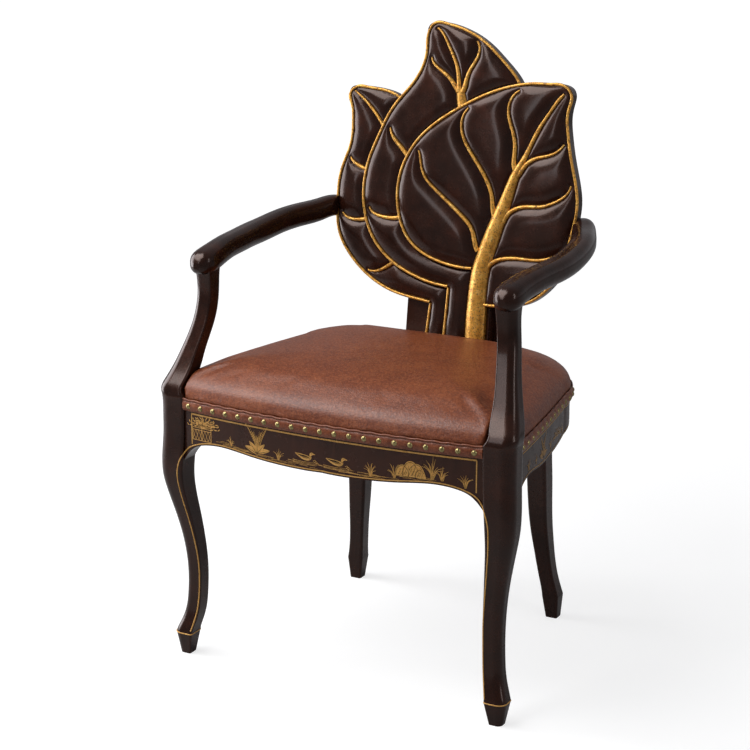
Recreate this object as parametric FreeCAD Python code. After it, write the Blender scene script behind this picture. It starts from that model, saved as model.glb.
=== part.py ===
"""Armchair with a carved back of three leaves, cabriole front legs and a nailed leather seat.

Millimetres, +Z up, the chair faces -Y and stands on Z = 0.
"""
import FreeCAD
import Part
import math
import os

from FreeCAD import Vector

# Seat frame
RAIL_TOP = 440.0
RAIL_HEIGHT = 77.0
RAIL_THICKNESS = 26.0
REAR_RAIL_HEIGHT = 70.0
REAR_RAIL_THICKNESS = 44.0
FRAME_FRONT = 247.0
FRAME_FRONT_BOW = 26.0
FRAME_FRONT_HALF_WIDTH = 298.0
FRAME_SIDE_BOW = 3.0
FRAME_SIDE_END = 79.0
FRAME_REAR_HALF_WIDTH = 254.0
FRAME_CORNER_IN = 21.0
FRAME_CORNER_BACK = 148.0
FRAME_REAR_FLAT = 185.0
FRAME_REAR = 196.0
FRONT_RAIL_END = 34.0
SIDE_RAIL_END = 43.0
SIDE_RAIL_REAR_LAP = 9.0
REAR_RAIL_END = 25.0
APRON_WAVE = 14.0
BRACKET_DROP = 33.0
FRONT_APRON_SHARES = ((0.0, 0.0), (0.28, 0.0), (0.49, 0.28), (0.70, 0.62), (0.82, 0.40), (0.90, -0.12),
                      (0.95, -0.95), (1.0, -2.3))
SIDE_APRON_SHARES = ((0.0, -2.0), (0.04, -1.0), (0.08, -0.10), (0.13, 0.45), (0.20, 0.62), (0.32, 0.25),
                     (0.46, 0.12), (0.66, 0.40), (0.80, 0.90), (1.0, 1.0))

# Corner blocks and seat board
SEAT_BOARD_THICKNESS = 12.0
SEAT_BOARD_CLEARANCE = 1.0
CORNER_BLOCK_REACH = 80.0
CORNER_BLOCK_HEIGHT = 30.0
BLOCK_SCREW_RADIUS = 2.2
BLOCK_SCREW_HEAD_RADIUS = 4.4
BLOCK_SCREW_HEAD_HEIGHT = 3.0
BLOCK_SCREW_LENGTH = 46.0

# Front legs, measured along the diagonal from the ankle
ANKLE_INSET = 34.0
ANKLE_SETBACK = 54.0
KNEE_SWEEP = 28.0
KNEE_WIDTH = 48.0
FOOT_HEIGHT = 36.0
FRONT_FOOT_SHARES = ((0.0, 0.69, 0.42), (1.0, 0.69, 0.70))
FRONT_LEG_SHARES = ((0.082, 0.69, 0.70), (0.12, 0.46, 0.65), (0.17, 0.18, 0.605), (0.23, 0.05, 0.59),
                    (0.30, 0.0, 0.59), (0.37, 0.04, 0.605), (0.455, 0.21, 0.64), (0.545, 0.50, 0.715),
                    (0.635, 0.84, 0.815), (0.70, 1.0, 0.90), (0.78, 0.96, 0.96), (0.86, 0.84, 0.98),
                    (0.93, 0.81, 0.99), (1.0, 0.83, 1.0))
LEG_CORNER_SHARES = (0.24, 0.20, 0.10, 0.42)

# Rear legs
REAR_LEG_INSET = 17.0
REAR_LEG_SETBACK = 22.5
REAR_LEG_SPLAY = 23.0
REAR_LEG_RAKE = 36.5
REAR_LEG_WIDTH = 37.0
REAR_FOOT_SHARES = ((0.0, 1.0, 1.0, 0.56), (0.09, 0.93, 0.97, 0.80))
REAR_LEG_SHARES = ((0.09, 0.93, 0.97, 0.80), (0.15, 0.75, 0.83, 0.73), (0.21, 0.59, 0.69, 0.725),
                   (0.28, 0.45, 0.565, 0.76), (0.36, 0.30, 0.45, 0.83), (0.45, 0.19, 0.365, 0.89),
                   (0.54, 0.145, 0.305, 0.935), (0.63, 0.105, 0.235, 0.957), (0.72, 0.07, 0.16, 0.975),
                   (0.81, 0.04, 0.10, 0.985), (0.90, 0.02, 0.05, 0.995), (1.0, 0.0, 0.0, 1.0))
REAR_CORNER_SHARES = (0.16, 0.16, 0.16, 0.16)

# Arm posts, standing on the front legs
POST_TOP = 632.0
POST_LEAN_IN = 23.0
POST_LEAN_BACK = 58.0
POST_WIDTH = 48.0
POST_SHARES = ((0.0, 0.0, 0.0, 1.0), (0.11, -0.10, 0.12, 0.88), (0.21, 0.12, 0.34, 0.81),
               (0.30, 0.27, 0.49, 0.73), (0.43, 0.50, 0.69, 0.66), (0.56, 0.70, 0.87, 0.63),
               (0.69, 0.83, 0.98, 0.615), (0.80, 0.90, 1.01, 0.61), (0.89, 0.93, 1.0, 0.63),
               (0.95, 0.93, 0.99, 0.66), (1.0, 0.93, 0.97, 0.72))
POST_DOWEL_RADIUS = 6.0
POST_DOWEL_LENGTH = 50.0
ARM_DOWEL_RADIUS = 5.0
ARM_DOWEL_LENGTH = 46.0

# Arms, from the rounded hand hold back to the leaf panel
ARM_INSET = 38.0
ARM_SETBACK = 88.0
ARM_FRONT_Z = 642.0
ARM_RUN = 367.0
ARM_BOW = 13.0
ARM_RISE = 34.0
ARM_THICKNESS = 43.0
ARM_FLATNESS_SHARE = 0.94
ARM_CORNER_SHARES = (0.42, 0.42, 0.42, 0.42)
ARM_SHARES = ((-0.060, 0.0, -0.05, -0.09, 0.26), (-0.049, 0.0, -0.04, -0.07, 0.58),
              (-0.026, 0.0, -0.02, -0.03, 0.87), (0.0, 0.0, 0.0, 0.0, 0.97), (0.065, 0.0, 0.05, 0.12, 0.98),
              (0.18, 0.0, 0.38, 0.30, 0.92), (0.30, 0.0, 0.70, 0.38, 0.91), (0.41, 0.0, 0.98, 0.44, 0.92),
              (0.53, 0.03, 1.06, 0.53, 0.93), (0.65, 0.12, 1.06, 0.68, 0.93), (0.78, 0.32, 0.86, 0.81, 0.93),
              (0.90, 0.64, 0.56, 0.94, 0.90), (1.0, 1.0, 0.0, 1.0, 0.86))
ARM_END_LAP = 5.0
ARM_END_DOWEL_RADIUS = 4.0
ARM_END_DOWEL_LENGTH = 46.0
ARM_DOWEL_IN_LEAF = 30.0

# Carved back, set out on a reclined plane through the front leaf's face
BACK_Y = 154.0
BACK_Z = 480.0
BACK_RECLINE = 8.0
BACK_HALF_WIDTH = 224.0
LAYER_STEP = 8.0
LEAF_THICKNESS = 16.0
RIM_WIDTH = 4.4
RIM_HEIGHT = 3.2
BEAD_STATIONS = 44
VEIN_HEIGHT = 4.2
VEIN_TIP_SHARE = 0.30

FRONT_LEAF_FOOT = 62.0
FRONT_LEAF_WIDTH = 326.0
FRONT_LEAF_HEIGHT = 367.0
FRONT_LEAF_SHARES = (
    (0.528, 0.0), (0.640, 0.002), (0.779, 0.033), (0.877, 0.101), (0.933, 0.174), (0.972, 0.305),
    (1.0, 0.493), (0.954, 0.665), (0.922, 0.790), (0.913, 0.860), (0.921, 0.915), (0.926, 0.950),
    (0.914, 0.977), (0.886, 0.993), (0.835, 0.999), (0.745, 1.0), (0.494, 0.951), (0.291, 0.858),
    (0.107, 0.728), (0.009, 0.559), (0.012, 0.384), (0.083, 0.259), (0.245, 0.177), (0.454, 0.155))
FRONT_VEIN_WIDTH = 8.0
FRONT_VEIN_SHARES = (
    ((0.48, 0.24), (0.44, 0.333), (0.383, 0.387), (0.304, 0.441), (0.221, 0.496), (0.156, 0.550),
     (0.126, 0.619), (0.11, 0.665)),
    ((0.558, 0.40), (0.537, 0.485), (0.494, 0.567), (0.420, 0.654), (0.362, 0.728), (0.340, 0.793),
     (0.353, 0.845), (0.374, 0.869)),
    ((0.665, 0.60), (0.641, 0.708), (0.620, 0.785), (0.592, 0.858), (0.604, 0.924), (0.644, 0.959)),
    ((0.67, 0.59), (0.706, 0.638), (0.752, 0.668), (0.813, 0.684), (0.862, 0.703), (0.902, 0.738)),
    ((0.61, 0.38), (0.650, 0.433), (0.712, 0.455), (0.804, 0.463), (0.871, 0.485), (0.929, 0.520),
     (0.954, 0.564)),
    ((0.53, 0.15), (0.580, 0.204), (0.650, 0.223), (0.755, 0.226), (0.856, 0.237), (0.914, 0.262),
     (0.957, 0.294)))

TRUNK_FOOT_WIDTH = 34.0
TRUNK_HEIGHT = 8.0
TRUNK_SHARES = ((0.494, -0.29, 1.0), (0.494, -0.19, 0.99), (0.494, -0.09, 0.975), (0.494, 0.0, 0.955),
                (0.497, 0.085, 0.93), (0.506, 0.166, 0.91), (0.524, 0.23, 0.88),
                (0.546, 0.294, 0.85), (0.580, 0.390, 0.77), (0.613, 0.474, 0.64), (0.660, 0.605, 0.42),
                (0.693, 0.662, 0.27), (0.736, 0.749, 0.21), (0.779, 0.826, 0.18), (0.822, 0.886, 0.15),
                (0.880, 0.954, 0.11))

MIDDLE_LEAF_LEFT = -171.0
MIDDLE_LEAF_FOOT = 84.0
MIDDLE_LEAF_WIDTH = 275.0
MIDDLE_LEAF_HEIGHT = 434.0
MIDDLE_LEAF_SHARES = (
    (0.920, 0.0), (0.99, 0.24), (1.06, 0.48), (1.06, 0.68), (1.0, 0.793), (0.887, 0.869), (0.785, 0.924),
    (0.687, 0.961), (0.599, 0.983), (0.518, 0.996), (0.455, 1.0), (0.409, 0.996), (0.380, 0.981),
    (0.371, 0.956), (0.371, 0.915), (0.352, 0.835), (0.269, 0.749), (0.167, 0.670), (0.087, 0.567),
    (0.025, 0.465), (0.0, 0.357), (0.018, 0.258), (0.080, 0.168), (0.196, 0.090), (0.353, 0.037),
    (0.542, 0.005), (0.625, 0.0))
MIDDLE_VEIN_WIDTH = 8.0
MIDDLE_FORK_WIDTH = 17.0
MIDDLE_FORK_SHARES = ((0.66, 0.65), (0.625, 0.72), (0.614, 0.753))
MIDDLE_FORK_WIDTH_SHARES = (1.1, 1.0, 0.75)
MIDDLE_VEIN_SHARES = (
    ((0.614, 0.745), (0.600, 0.797), (0.578, 0.846), (0.538, 0.894), (0.495, 0.940), (0.440, 0.975)),
    ((0.607, 0.742), (0.553, 0.783), (0.498, 0.811), (0.444, 0.834), (0.415, 0.866)),
    ((0.630, 0.742), (0.658, 0.802), (0.684, 0.839), (0.716, 0.876), (0.724, 0.903), (0.705, 0.933)),
    ((0.300, 0.48), (0.218, 0.535), (0.178, 0.567), (0.167, 0.590)),
    ((0.275, 0.252), (0.204, 0.244), (0.142, 0.247), (0.087, 0.258), (0.058, 0.279)))

REAR_LEAF_FOOT = 54.0
REAR_LEAF_WIDTH = 190.0
REAR_LEAF_HEIGHT = 353.0
REAR_LEAF_SHARES = (
    (1.35, 0.0), (1.25, 0.15), (1.0, 0.32), (0.80, 0.52), (0.72, 0.75), (0.574, 0.960), (0.395, 0.992),
    (0.238, 1.0), (0.146, 1.0), (0.089, 0.991), (0.064, 0.970), (0.064, 0.940), (0.086, 0.903),
    (0.103, 0.850), (0.095, 0.717), (0.032, 0.618), (0.0, 0.524), (0.0, 0.448), (0.032, 0.300),
    (0.174, 0.181), (0.384, 0.088), (0.647, 0.028), (0.905, 0.006), (1.0, 0.0))
REAR_VEIN_WIDTH = 6.5
REAR_VEIN_SHARES = (
    ((0.46, 0.79), (0.416, 0.824), (0.311, 0.890), (0.226, 0.932), (0.121, 0.972)),
    ((0.27, 0.605), (0.190, 0.623), (0.142, 0.640), (0.121, 0.657)),
    ((0.32, 0.368), (0.200, 0.360), (0.121, 0.368), (0.068, 0.391)),
    ((0.62, 0.175), (0.521, 0.139), (0.437, 0.122), (0.368, 0.125)))

MIDDLE_STEM_SPREAD = 5.0
REAR_STEM_SPREAD = 10.0
SPLAT_LEFT = -79.0
SPLAT_RIGHT = 91.0
SPLAT_HEIGHT = 300.0
SPLAT_ARCH = 40.0
SPLAT_THICKNESS = 24.0
TENON_LEFT = -50.0
TENON_RIGHT = 62.0
TENON_THICKNESS = 14.0
TENON_DEPTH = 42.0
SPLAT_SCREW_RADIUS = 2.2
SPLAT_SCREW_HEAD_RADIUS = 4.4
SPLAT_SCREW_LENGTH = 34.0
SPLAT_SCREW_HEAD_HEIGHT = 3.0
SPLAT_SCREW_SHARES = ((0.40, 0.38), (0.72, 0.38), (0.26, 0.62), (0.66, 0.80))

# Seat padding, leather and nails
CROWN_HEIGHT = 57.0
LEATHER = 2.0
LEATHER_SKIRT = 20.0
PAD_CENTRE_Y = -20.0
PAD_SHARES = ((0.0, 1.0), (0.18, 1.0), (0.42, 0.965), (0.66, 0.875), (0.85, 0.71), (0.96, 0.47), (1.0, 0.22))
BAND_HEIGHT = 16.0
BAND_THICKNESS = 2.0
WELT_RADIUS = 2.2
PAD_CLEARANCE = 0.5
NOTCH_INSET = 45.0
NOTCH_SETBACK = 62.5
NOTCH_SLOPE_SHARE = 0.40
SPLAT_NOTCH_Y = 138.0
NAIL_RADIUS = 4.6
NAIL_HEIGHT = 3.0
NAIL_SHANK_RADIUS = 0.9
NAIL_SHANK_LENGTH = 9.0
NAIL_PITCH = 24.5

OVERRUN = 40.0

FRAME_CORNER_OUT = FRAME_REAR_HALF_WIDTH - FRAME_CORNER_IN
FRONT_RAIL_HALF_LENGTH = FRAME_FRONT_HALF_WIDTH - FRONT_RAIL_END
SIDE_RAIL_FRONT = FRAME_FRONT - SIDE_RAIL_END
SIDE_RAIL_REAR_IN = FRAME_REAR_FLAT - SIDE_RAIL_REAR_LAP
REAR_RAIL_HALF_LENGTH = FRAME_REAR_FLAT - REAR_RAIL_END
ANKLE_X = FRAME_FRONT_HALF_WIDTH - ANKLE_INSET
ANKLE_Y = ANKLE_SETBACK - FRAME_FRONT
REAR_LEG_X = FRAME_REAR_FLAT - REAR_LEG_INSET
REAR_LEG_Y = FRAME_REAR - REAR_LEG_SETBACK
ARM_FRONT_X = FRAME_FRONT_HALF_WIDTH - ARM_INSET
ARM_FRONT_Y = ARM_SETBACK - FRAME_FRONT
ARM_END_X = BACK_HALF_WIDTH - ARM_END_LAP
FRONT_LEAF_LEFT = BACK_HALF_WIDTH - FRONT_LEAF_WIDTH
REAR_LEAF_LEFT = -BACK_HALF_WIDTH
NOTCH_X = FRAME_FRONT_HALF_WIDTH - NOTCH_INSET
NOTCH_Y = NOTCH_SETBACK - FRAME_FRONT
UP = Vector(0, 0, 1)
RIGHT = Vector(1, 0, 0)
BACKWARD = Vector(0, 1, 0)
ORIGIN = Vector(0, 0, 0)
RECLINE = math.radians(BACK_RECLINE)
BACK_UP = Vector(0, math.sin(RECLINE), math.cos(RECLINE))
BACK_OUT = Vector(0, -math.cos(RECLINE), math.sin(RECLINE))
BACK_ORIGIN = Vector(0, BACK_Y, BACK_Z)
LEAF_SEAT = (RAIL_TOP - BACK_Z) / math.cos(RECLINE)
FRONT_BOX = (FRONT_LEAF_LEFT, FRONT_LEAF_FOOT, FRONT_LEAF_WIDTH, FRONT_LEAF_HEIGHT)
MIDDLE_BOX = (MIDDLE_LEAF_LEFT, MIDDLE_LEAF_FOOT, MIDDLE_LEAF_WIDTH, MIDDLE_LEAF_HEIGHT)
REAR_BOX = (REAR_LEAF_LEFT, REAR_LEAF_FOOT, REAR_LEAF_WIDTH, REAR_LEAF_HEIGHT)


def mirrored(shape):
    """The same shape on the other side of the chair."""
    return shape.mirror(ORIGIN, RIGHT)


def box(low, high):
    """Block between two corners."""
    size = high - low
    return Part.makeBox(size.x, size.y, size.z, low)


def cut_all(shape, tools):
    """The shape less each of the tools."""
    for tool in tools:
        shape = shape.cut(tool)
    return shape


def rounded_section(centre, across, along, width, depth, corner_shares):
    """Closed outline of four straight sides and four rounded corners."""
    turns = []
    signs = ((1, 1), (-1, 1), (-1, -1), (1, -1))
    for (side, end), share in zip(signs, corner_shares):
        radius = share * min(width, depth)
        corner = centre + across * (side * width / 2) + along * (end * depth / 2)
        on_end = corner - across * (side * radius)
        on_side = corner - along * (end * radius)
        hub = on_end - along * (end * radius)
        crest = hub + (corner - hub) / math.sqrt(2)
        turns.append((on_side, crest, on_end) if side == end else (on_end, crest, on_side))
    edges = []
    for index, (start, crest, stop) in enumerate(turns):
        edges.append(Part.Arc(start, crest, stop).toShape())
        edges.append(Part.makeLine(stop, turns[(index + 1) % len(turns)][0]))
    return Part.Wire(edges)


def spline(points):
    """Smooth edge through the points."""
    curve = Part.BSplineCurve()
    curve.interpolate(points)
    return curve.toShape()


def three_point_arc(start, middle, stop):
    return Part.Arc(start, middle, stop).toShape()


def seat_plan(height, grow=0.0, share=1.0):
    """Plan of the seat frame's outer faces at a height, moved outwards by grow and scaled by share."""
    def place(x, y):
        shifted = PAD_CENTRE_Y + share * (y - PAD_CENTRE_Y)
        return Vector(share * x, shifted, height)

    def right(x, y):
        return place(x + grow, y)

    def left(x, y):
        return place(-x - grow, y)

    front = -FRAME_FRONT - grow
    corner_y = front + FRAME_FRONT_BOW
    rear = FRAME_REAR + grow
    middle_x = (FRAME_FRONT_HALF_WIDTH + FRAME_REAR_HALF_WIDTH) / 2 + FRAME_SIDE_BOW
    middle_y = (corner_y + FRAME_SIDE_END) / 2
    edges = [three_point_arc(left(FRAME_FRONT_HALF_WIDTH, corner_y), place(0, front),
                             right(FRAME_FRONT_HALF_WIDTH, corner_y)),
             three_point_arc(right(FRAME_FRONT_HALF_WIDTH, corner_y), right(middle_x, middle_y),
                             right(FRAME_REAR_HALF_WIDTH, FRAME_SIDE_END)),
             three_point_arc(right(FRAME_REAR_HALF_WIDTH, FRAME_SIDE_END),
                             right(FRAME_CORNER_OUT, FRAME_CORNER_BACK + grow / 2),
                             place(FRAME_REAR_FLAT, rear)),
             Part.makeLine(place(FRAME_REAR_FLAT, rear), place(-FRAME_REAR_FLAT, rear)),
             three_point_arc(place(-FRAME_REAR_FLAT, rear),
                             left(FRAME_CORNER_OUT, FRAME_CORNER_BACK + grow / 2),
                             left(FRAME_REAR_HALF_WIDTH, FRAME_SIDE_END)),
             three_point_arc(left(FRAME_REAR_HALF_WIDTH, FRAME_SIDE_END), left(middle_x, middle_y),
                             left(FRAME_FRONT_HALF_WIDTH, corner_y))]
    return Part.Wire(edges)


def seat_prism(low, high, grow=0.0):
    """Solid of the seat plan between two heights."""
    return Part.Face(seat_plan(low, grow)).extrude(UP * (high - low))


def wave_below(start, stop, base, wave, shares, depth):
    """Solid under a wavy lower edge that runs from start to stop, taken through the whole rail."""
    run = stop - start
    points = [start + run * along + UP * (base + wave * rise) for along, rise in shares]
    foot_start = start + UP * (base - OVERRUN)
    foot_stop = stop + UP * (base - OVERRUN)
    edges = [spline(points),
             Part.makeLine(points[-1], foot_stop),
             Part.makeLine(foot_stop, foot_start),
             Part.makeLine(foot_start, points[0])]
    return Part.Face(Part.Wire(edges)).extrude(depth)


def rail_ring():
    """The four rails before they are parted."""
    low = RAIL_TOP - RAIL_HEIGHT - BRACKET_DROP
    return seat_prism(low, RAIL_TOP).cut(seat_prism(low, RAIL_TOP, -RAIL_THICKNESS))


def front_rail_blank(ring):
    """Front rail before its lower edge is shaped."""
    half = FRONT_RAIL_HALF_LENGTH
    inner_corner = -FRAME_FRONT + FRAME_FRONT_BOW + RAIL_THICKNESS
    return ring.common(box(Vector(-half, -FRAME_FRONT - OVERRUN, 0), Vector(half, inner_corner, RAIL_TOP)))


def front_rail(blank):
    start = Vector(0, -FRAME_FRONT - OVERRUN, 0)
    depth = BACKWARD * (FRAME_FRONT + OVERRUN)
    low = RAIL_TOP - RAIL_HEIGHT
    stop = start + RIGHT * FRONT_RAIL_HALF_LENGTH
    wave = wave_below(start, stop, low, APRON_WAVE, FRONT_APRON_SHARES, depth)
    return cut_all(blank, [wave, mirrored(wave)])


def side_rail(ring):
    low = Vector(SIDE_RAIL_REAR_IN, -SIDE_RAIL_FRONT, 0)
    high = Vector(FRAME_FRONT_HALF_WIDTH + OVERRUN, FRAME_REAR + OVERRUN, RAIL_TOP)
    rail = ring.common(box(low, high))
    start = Vector(0, -SIDE_RAIL_FRONT, 0)
    stop = Vector(0, FRAME_REAR, 0)
    depth = RIGHT * (FRAME_FRONT_HALF_WIDTH + OVERRUN)
    return rail.cut(wave_below(start, stop, RAIL_TOP - RAIL_HEIGHT, APRON_WAVE, SIDE_APRON_SHARES, depth))


def rear_rail():
    low = Vector(-REAR_RAIL_HALF_LENGTH, FRAME_REAR - REAR_RAIL_THICKNESS, RAIL_TOP - REAR_RAIL_HEIGHT)
    high = Vector(REAR_RAIL_HALF_LENGTH, FRAME_REAR, RAIL_TOP)
    return box(low, high)


def front_leg():
    """Right cabriole leg: a pointed foot under a swept leg that ends in a square block."""
    outward = (RIGHT - BACKWARD) / math.sqrt(2)
    ankle = Vector(ANKLE_X, ANKLE_Y, 0)

    def section(height, sweep_share, width_share):
        centre = ankle + outward * (KNEE_SWEEP * sweep_share) + UP * height
        width = KNEE_WIDTH * width_share
        return rounded_section(centre, RIGHT, BACKWARD, width, width, LEG_CORNER_SHARES)

    foot = Part.makeLoft([section(FOOT_HEIGHT * rise, sweep, width)
                          for rise, sweep, width in FRONT_FOOT_SHARES], True, True)
    rises = [FOOT_HEIGHT] + [RAIL_TOP * rise for rise, _, _ in FRONT_LEG_SHARES[1:]]
    shank = Part.makeLoft([section(height, sweep, width)
                           for height, (_, sweep, width) in zip(rises, FRONT_LEG_SHARES)], True, False)
    return foot.fuse(shank)


def leg_top_centre():
    """Middle of the front leg's top face."""
    sweep = KNEE_SWEEP * FRONT_LEG_SHARES[-1][1] / math.sqrt(2)
    return Vector(ANKLE_X + sweep, ANKLE_Y - sweep, RAIL_TOP)


def rear_leg():
    """Right rear leg, raked back and splayed out to a small flared foot."""
    def section(rise, splay, rake, width):
        top = Vector(REAR_LEG_X, REAR_LEG_Y, 0)
        centre = top + Vector(REAR_LEG_SPLAY * splay, REAR_LEG_RAKE * rake, RAIL_TOP * rise)
        side = REAR_LEG_WIDTH * width
        return rounded_section(centre, RIGHT, BACKWARD, side, side, REAR_CORNER_SHARES)

    foot = Part.makeLoft([section(*shares) for shares in REAR_FOOT_SHARES], True, True)
    shank = Part.makeLoft([section(*shares) for shares in REAR_LEG_SHARES], True, False)
    return foot.fuse(shank)


def arm_post():
    """Right arm post, leaning back and in from the leg's top to the arm."""
    base = leg_top_centre()
    sections = []
    for rise, lean_in, lean_back, width in POST_SHARES:
        lift = (POST_TOP - RAIL_TOP) * rise
        centre = base + Vector(-POST_LEAN_IN * lean_in, POST_LEAN_BACK * lean_back, lift)
        side = POST_WIDTH * width
        sections.append(rounded_section(centre, RIGHT, BACKWARD, side, side, LEG_CORNER_SHARES))
    return Part.makeLoft(sections, True, False)


def arm_places():
    """Points along the middle of the right arm."""
    start = Vector(ARM_FRONT_X, ARM_FRONT_Y, ARM_FRONT_Z)
    inward = ARM_END_X - ARM_FRONT_X
    return [start + Vector(inward * sweep + ARM_BOW * bow, ARM_RUN * run, ARM_RISE * rise)
            for run, sweep, bow, rise, _ in ARM_SHARES]


def arm():
    """Right arm: a rounded hand hold, then a bowed rail that sweeps in to the leaf panel."""
    places = arm_places()
    sections = []
    for index, (place, shares) in enumerate(zip(places, ARM_SHARES)):
        ahead = places[min(index + 1, len(places) - 1)]
        behind = places[max(index - 1, 0)]
        run = Vector(ahead.x - behind.x, ahead.y - behind.y, 0).normalize()
        across = run.cross(UP)
        width = ARM_THICKNESS * shares[-1]
        depth = width * ARM_FLATNESS_SHARE
        sections.append(rounded_section(place, across, UP, width, depth, ARM_CORNER_SHARES))
    return Part.makeLoft(sections, True, False)


def on_back(across, up, out=0.0):
    """Point on the reclined plane of the back."""
    return BACK_ORIGIN + RIGHT * across + BACK_UP * up + BACK_OUT * out


def leaf_points(leaf_box, shares, out):
    """Points of a leaf, given as shares of its width and height, at a depth from the front leaf's face."""
    left, foot, width, height = leaf_box
    return [on_back(left + width * across, foot + height * up, out) for across, up in shares]


def front_leaf_outline():
    """Points up the front leaf's right side from its foot, round its tip and down its left side."""
    return leaf_points(FRONT_BOX, FRONT_LEAF_SHARES, 0)


def middle_leaf_outline():
    return leaf_points(MIDDLE_BOX, MIDDLE_LEAF_SHARES, -LAYER_STEP)


def rear_leaf_outline():
    return leaf_points(REAR_BOX, REAR_LEAF_SHARES, -2 * LAYER_STEP)


def stem_foot(side_foot, spread):
    """Point below an outline's foot where its stem passes under the seat."""
    down = OVERRUN - LEAF_SEAT + (side_foot - BACK_ORIGIN).dot(BACK_UP)
    return side_foot - RIGHT * spread - BACK_UP * down


def leaf_board(outline, stem):
    """Solid leaf: its outline and the points of its stem between the outline's feet."""
    edges = [spline(outline)]
    places = [outline[-1]] + stem + [outline[0]]
    for start, stop in zip(places, places[1:]):
        edges.append(Part.makeLine(start, stop))
    return Part.Face(Part.Wire(edges)).extrude(-BACK_OUT * LEAF_THICKNESS).cut(below_seat())


def below_seat():
    """Everything under the level on which the back's stems stand."""
    span = FRAME_FRONT_HALF_WIDTH
    return box(Vector(-span, 0, 0), Vector(span, FRAME_REAR + OVERRUN, RAIL_TOP))


def bead(edge):
    """Rounded bead that follows the inside of one edge of a leaf."""
    sections = []
    for index in range(BEAD_STATIONS):
        share = index / (BEAD_STATIONS - 1)
        parameter = edge.FirstParameter + (edge.LastParameter - edge.FirstParameter) * share
        outer = edge.valueAt(parameter)
        inward = BACK_OUT.cross(edge.tangentAt(parameter))
        inner = outer + inward * RIM_WIDTH
        crest = outer + inward * (RIM_WIDTH / 2) + BACK_OUT * RIM_HEIGHT
        sections.append(Part.Wire([three_point_arc(outer, crest, inner), Part.makeLine(inner, outer)]))
    return Part.makeLoft(sections, True, False)


def rim(outline, stem, tools):
    """Gilded bead round a leaf and down the left edge of its stem, less what covers it."""
    around = bead(spline(outline))
    beads = [around]
    if stem:
        beads.append(cut_all(bead(Part.makeLine(outline[-1], stem[0])), [around, below_seat()]))
    return Part.makeCompound([cut_all(item, tools) for item in beads])


def ribbon(points, widths, height, sink=0.0):
    """Tapering ridge with a rounded top that lies on the back's plane along the points."""
    sections = []
    for index, (point, width) in enumerate(zip(points, widths)):
        ahead = points[min(index + 1, len(points) - 1)]
        behind = points[max(index - 1, 0)]
        across = (ahead - behind).normalize().cross(BACK_OUT) * (width / 2)
        rise = BACK_OUT * (height * math.sqrt(width / max(widths)))
        foot = -BACK_OUT * sink
        right = point + across
        left = point - across
        edges = [three_point_arc(right, point + rise, left)]
        if sink > 0:
            edges += [Part.makeLine(left, left + foot), Part.makeLine(left + foot, right + foot),
                      Part.makeLine(right + foot, right)]
        else:
            edges.append(Part.makeLine(left, right))
        sections.append(Part.Wire(edges))
    return Part.makeLoft(sections, True, False)


def vein(points, width):
    """Raised vein, widest where it leaves its stem."""
    last = len(points) - 1
    widths = [width * (1 - (1 - VEIN_TIP_SHARE) * index / last) for index in range(len(points))]
    return ribbon(points, widths, VEIN_HEIGHT)


def leaf_veins(leaf_box, table, width, out, tools):
    """Veins of one leaf, each less the tools and the veins before it."""
    veins = []
    for shares in table:
        ridge = vein(leaf_points(leaf_box, shares, out), width)
        veins.append(cut_all(ridge, tools + veins))
    return veins


def middle_fork():
    """Broad end of the middle leaf's midrib, where three veins part."""
    places = leaf_points(MIDDLE_BOX, MIDDLE_FORK_SHARES, -LAYER_STEP)
    widths = [MIDDLE_FORK_WIDTH * share for share in MIDDLE_FORK_WIDTH_SHARES]
    return ribbon(places, widths, VEIN_HEIGHT)


def trunk():
    """Gilded stem that runs up the front leaf and thins into its midrib."""
    places = [on_back(FRONT_LEAF_LEFT + FRONT_LEAF_WIDTH * across, FRONT_LEAF_FOOT + FRONT_LEAF_HEIGHT * up)
              for across, up, _ in TRUNK_SHARES]
    widths = [TRUNK_FOOT_WIDTH * width for _, _, width in TRUNK_SHARES]
    return ribbon(places, widths, TRUNK_HEIGHT, LAYER_STEP).cut(below_seat())


def splat():
    """Plain board behind the leaves, with an arched top and a tenon that enters the rear rail."""
    face_out = -3 * LAYER_STEP
    foot = LEAF_SEAT - OVERRUN
    shoulder = SPLAT_HEIGHT - SPLAT_ARCH
    middle = (SPLAT_LEFT + SPLAT_RIGHT) / 2
    right_foot = on_back(SPLAT_RIGHT, foot, face_out)
    right_shoulder = on_back(SPLAT_RIGHT, shoulder, face_out)
    left_shoulder = on_back(SPLAT_LEFT, shoulder, face_out)
    left_foot = on_back(SPLAT_LEFT, foot, face_out)
    edges = [Part.makeLine(right_foot, right_shoulder),
             three_point_arc(right_shoulder, on_back(middle, SPLAT_HEIGHT, face_out), left_shoulder),
             Part.makeLine(left_shoulder, left_foot),
             Part.makeLine(left_foot, right_foot)]
    board = Part.Face(Part.Wire(edges)).extrude(-BACK_OUT * SPLAT_THICKNESS).cut(below_seat())
    tenon_out = face_out - (SPLAT_THICKNESS - TENON_THICKNESS) / 2
    corners = [on_back(TENON_LEFT, LEAF_SEAT - TENON_DEPTH, tenon_out),
               on_back(TENON_RIGHT, LEAF_SEAT - TENON_DEPTH, tenon_out),
               on_back(TENON_RIGHT, LEAF_SEAT + TENON_DEPTH, tenon_out),
               on_back(TENON_LEFT, LEAF_SEAT + TENON_DEPTH, tenon_out)]
    tenon = Part.Face(Part.makePolygon(corners + corners[:1])).extrude(-BACK_OUT * TENON_THICKNESS)
    return board.fuse(tenon).removeSplitter()


def screw(tip, direction, radius, length, head_radius, head_height):
    """Plain wood screw from its tip to its flat head."""
    shank = Part.makeCylinder(radius, length, tip, direction)
    head = Part.makeCylinder(head_radius, head_height, tip + direction * length, direction)
    return shank.fuse(head)


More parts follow.
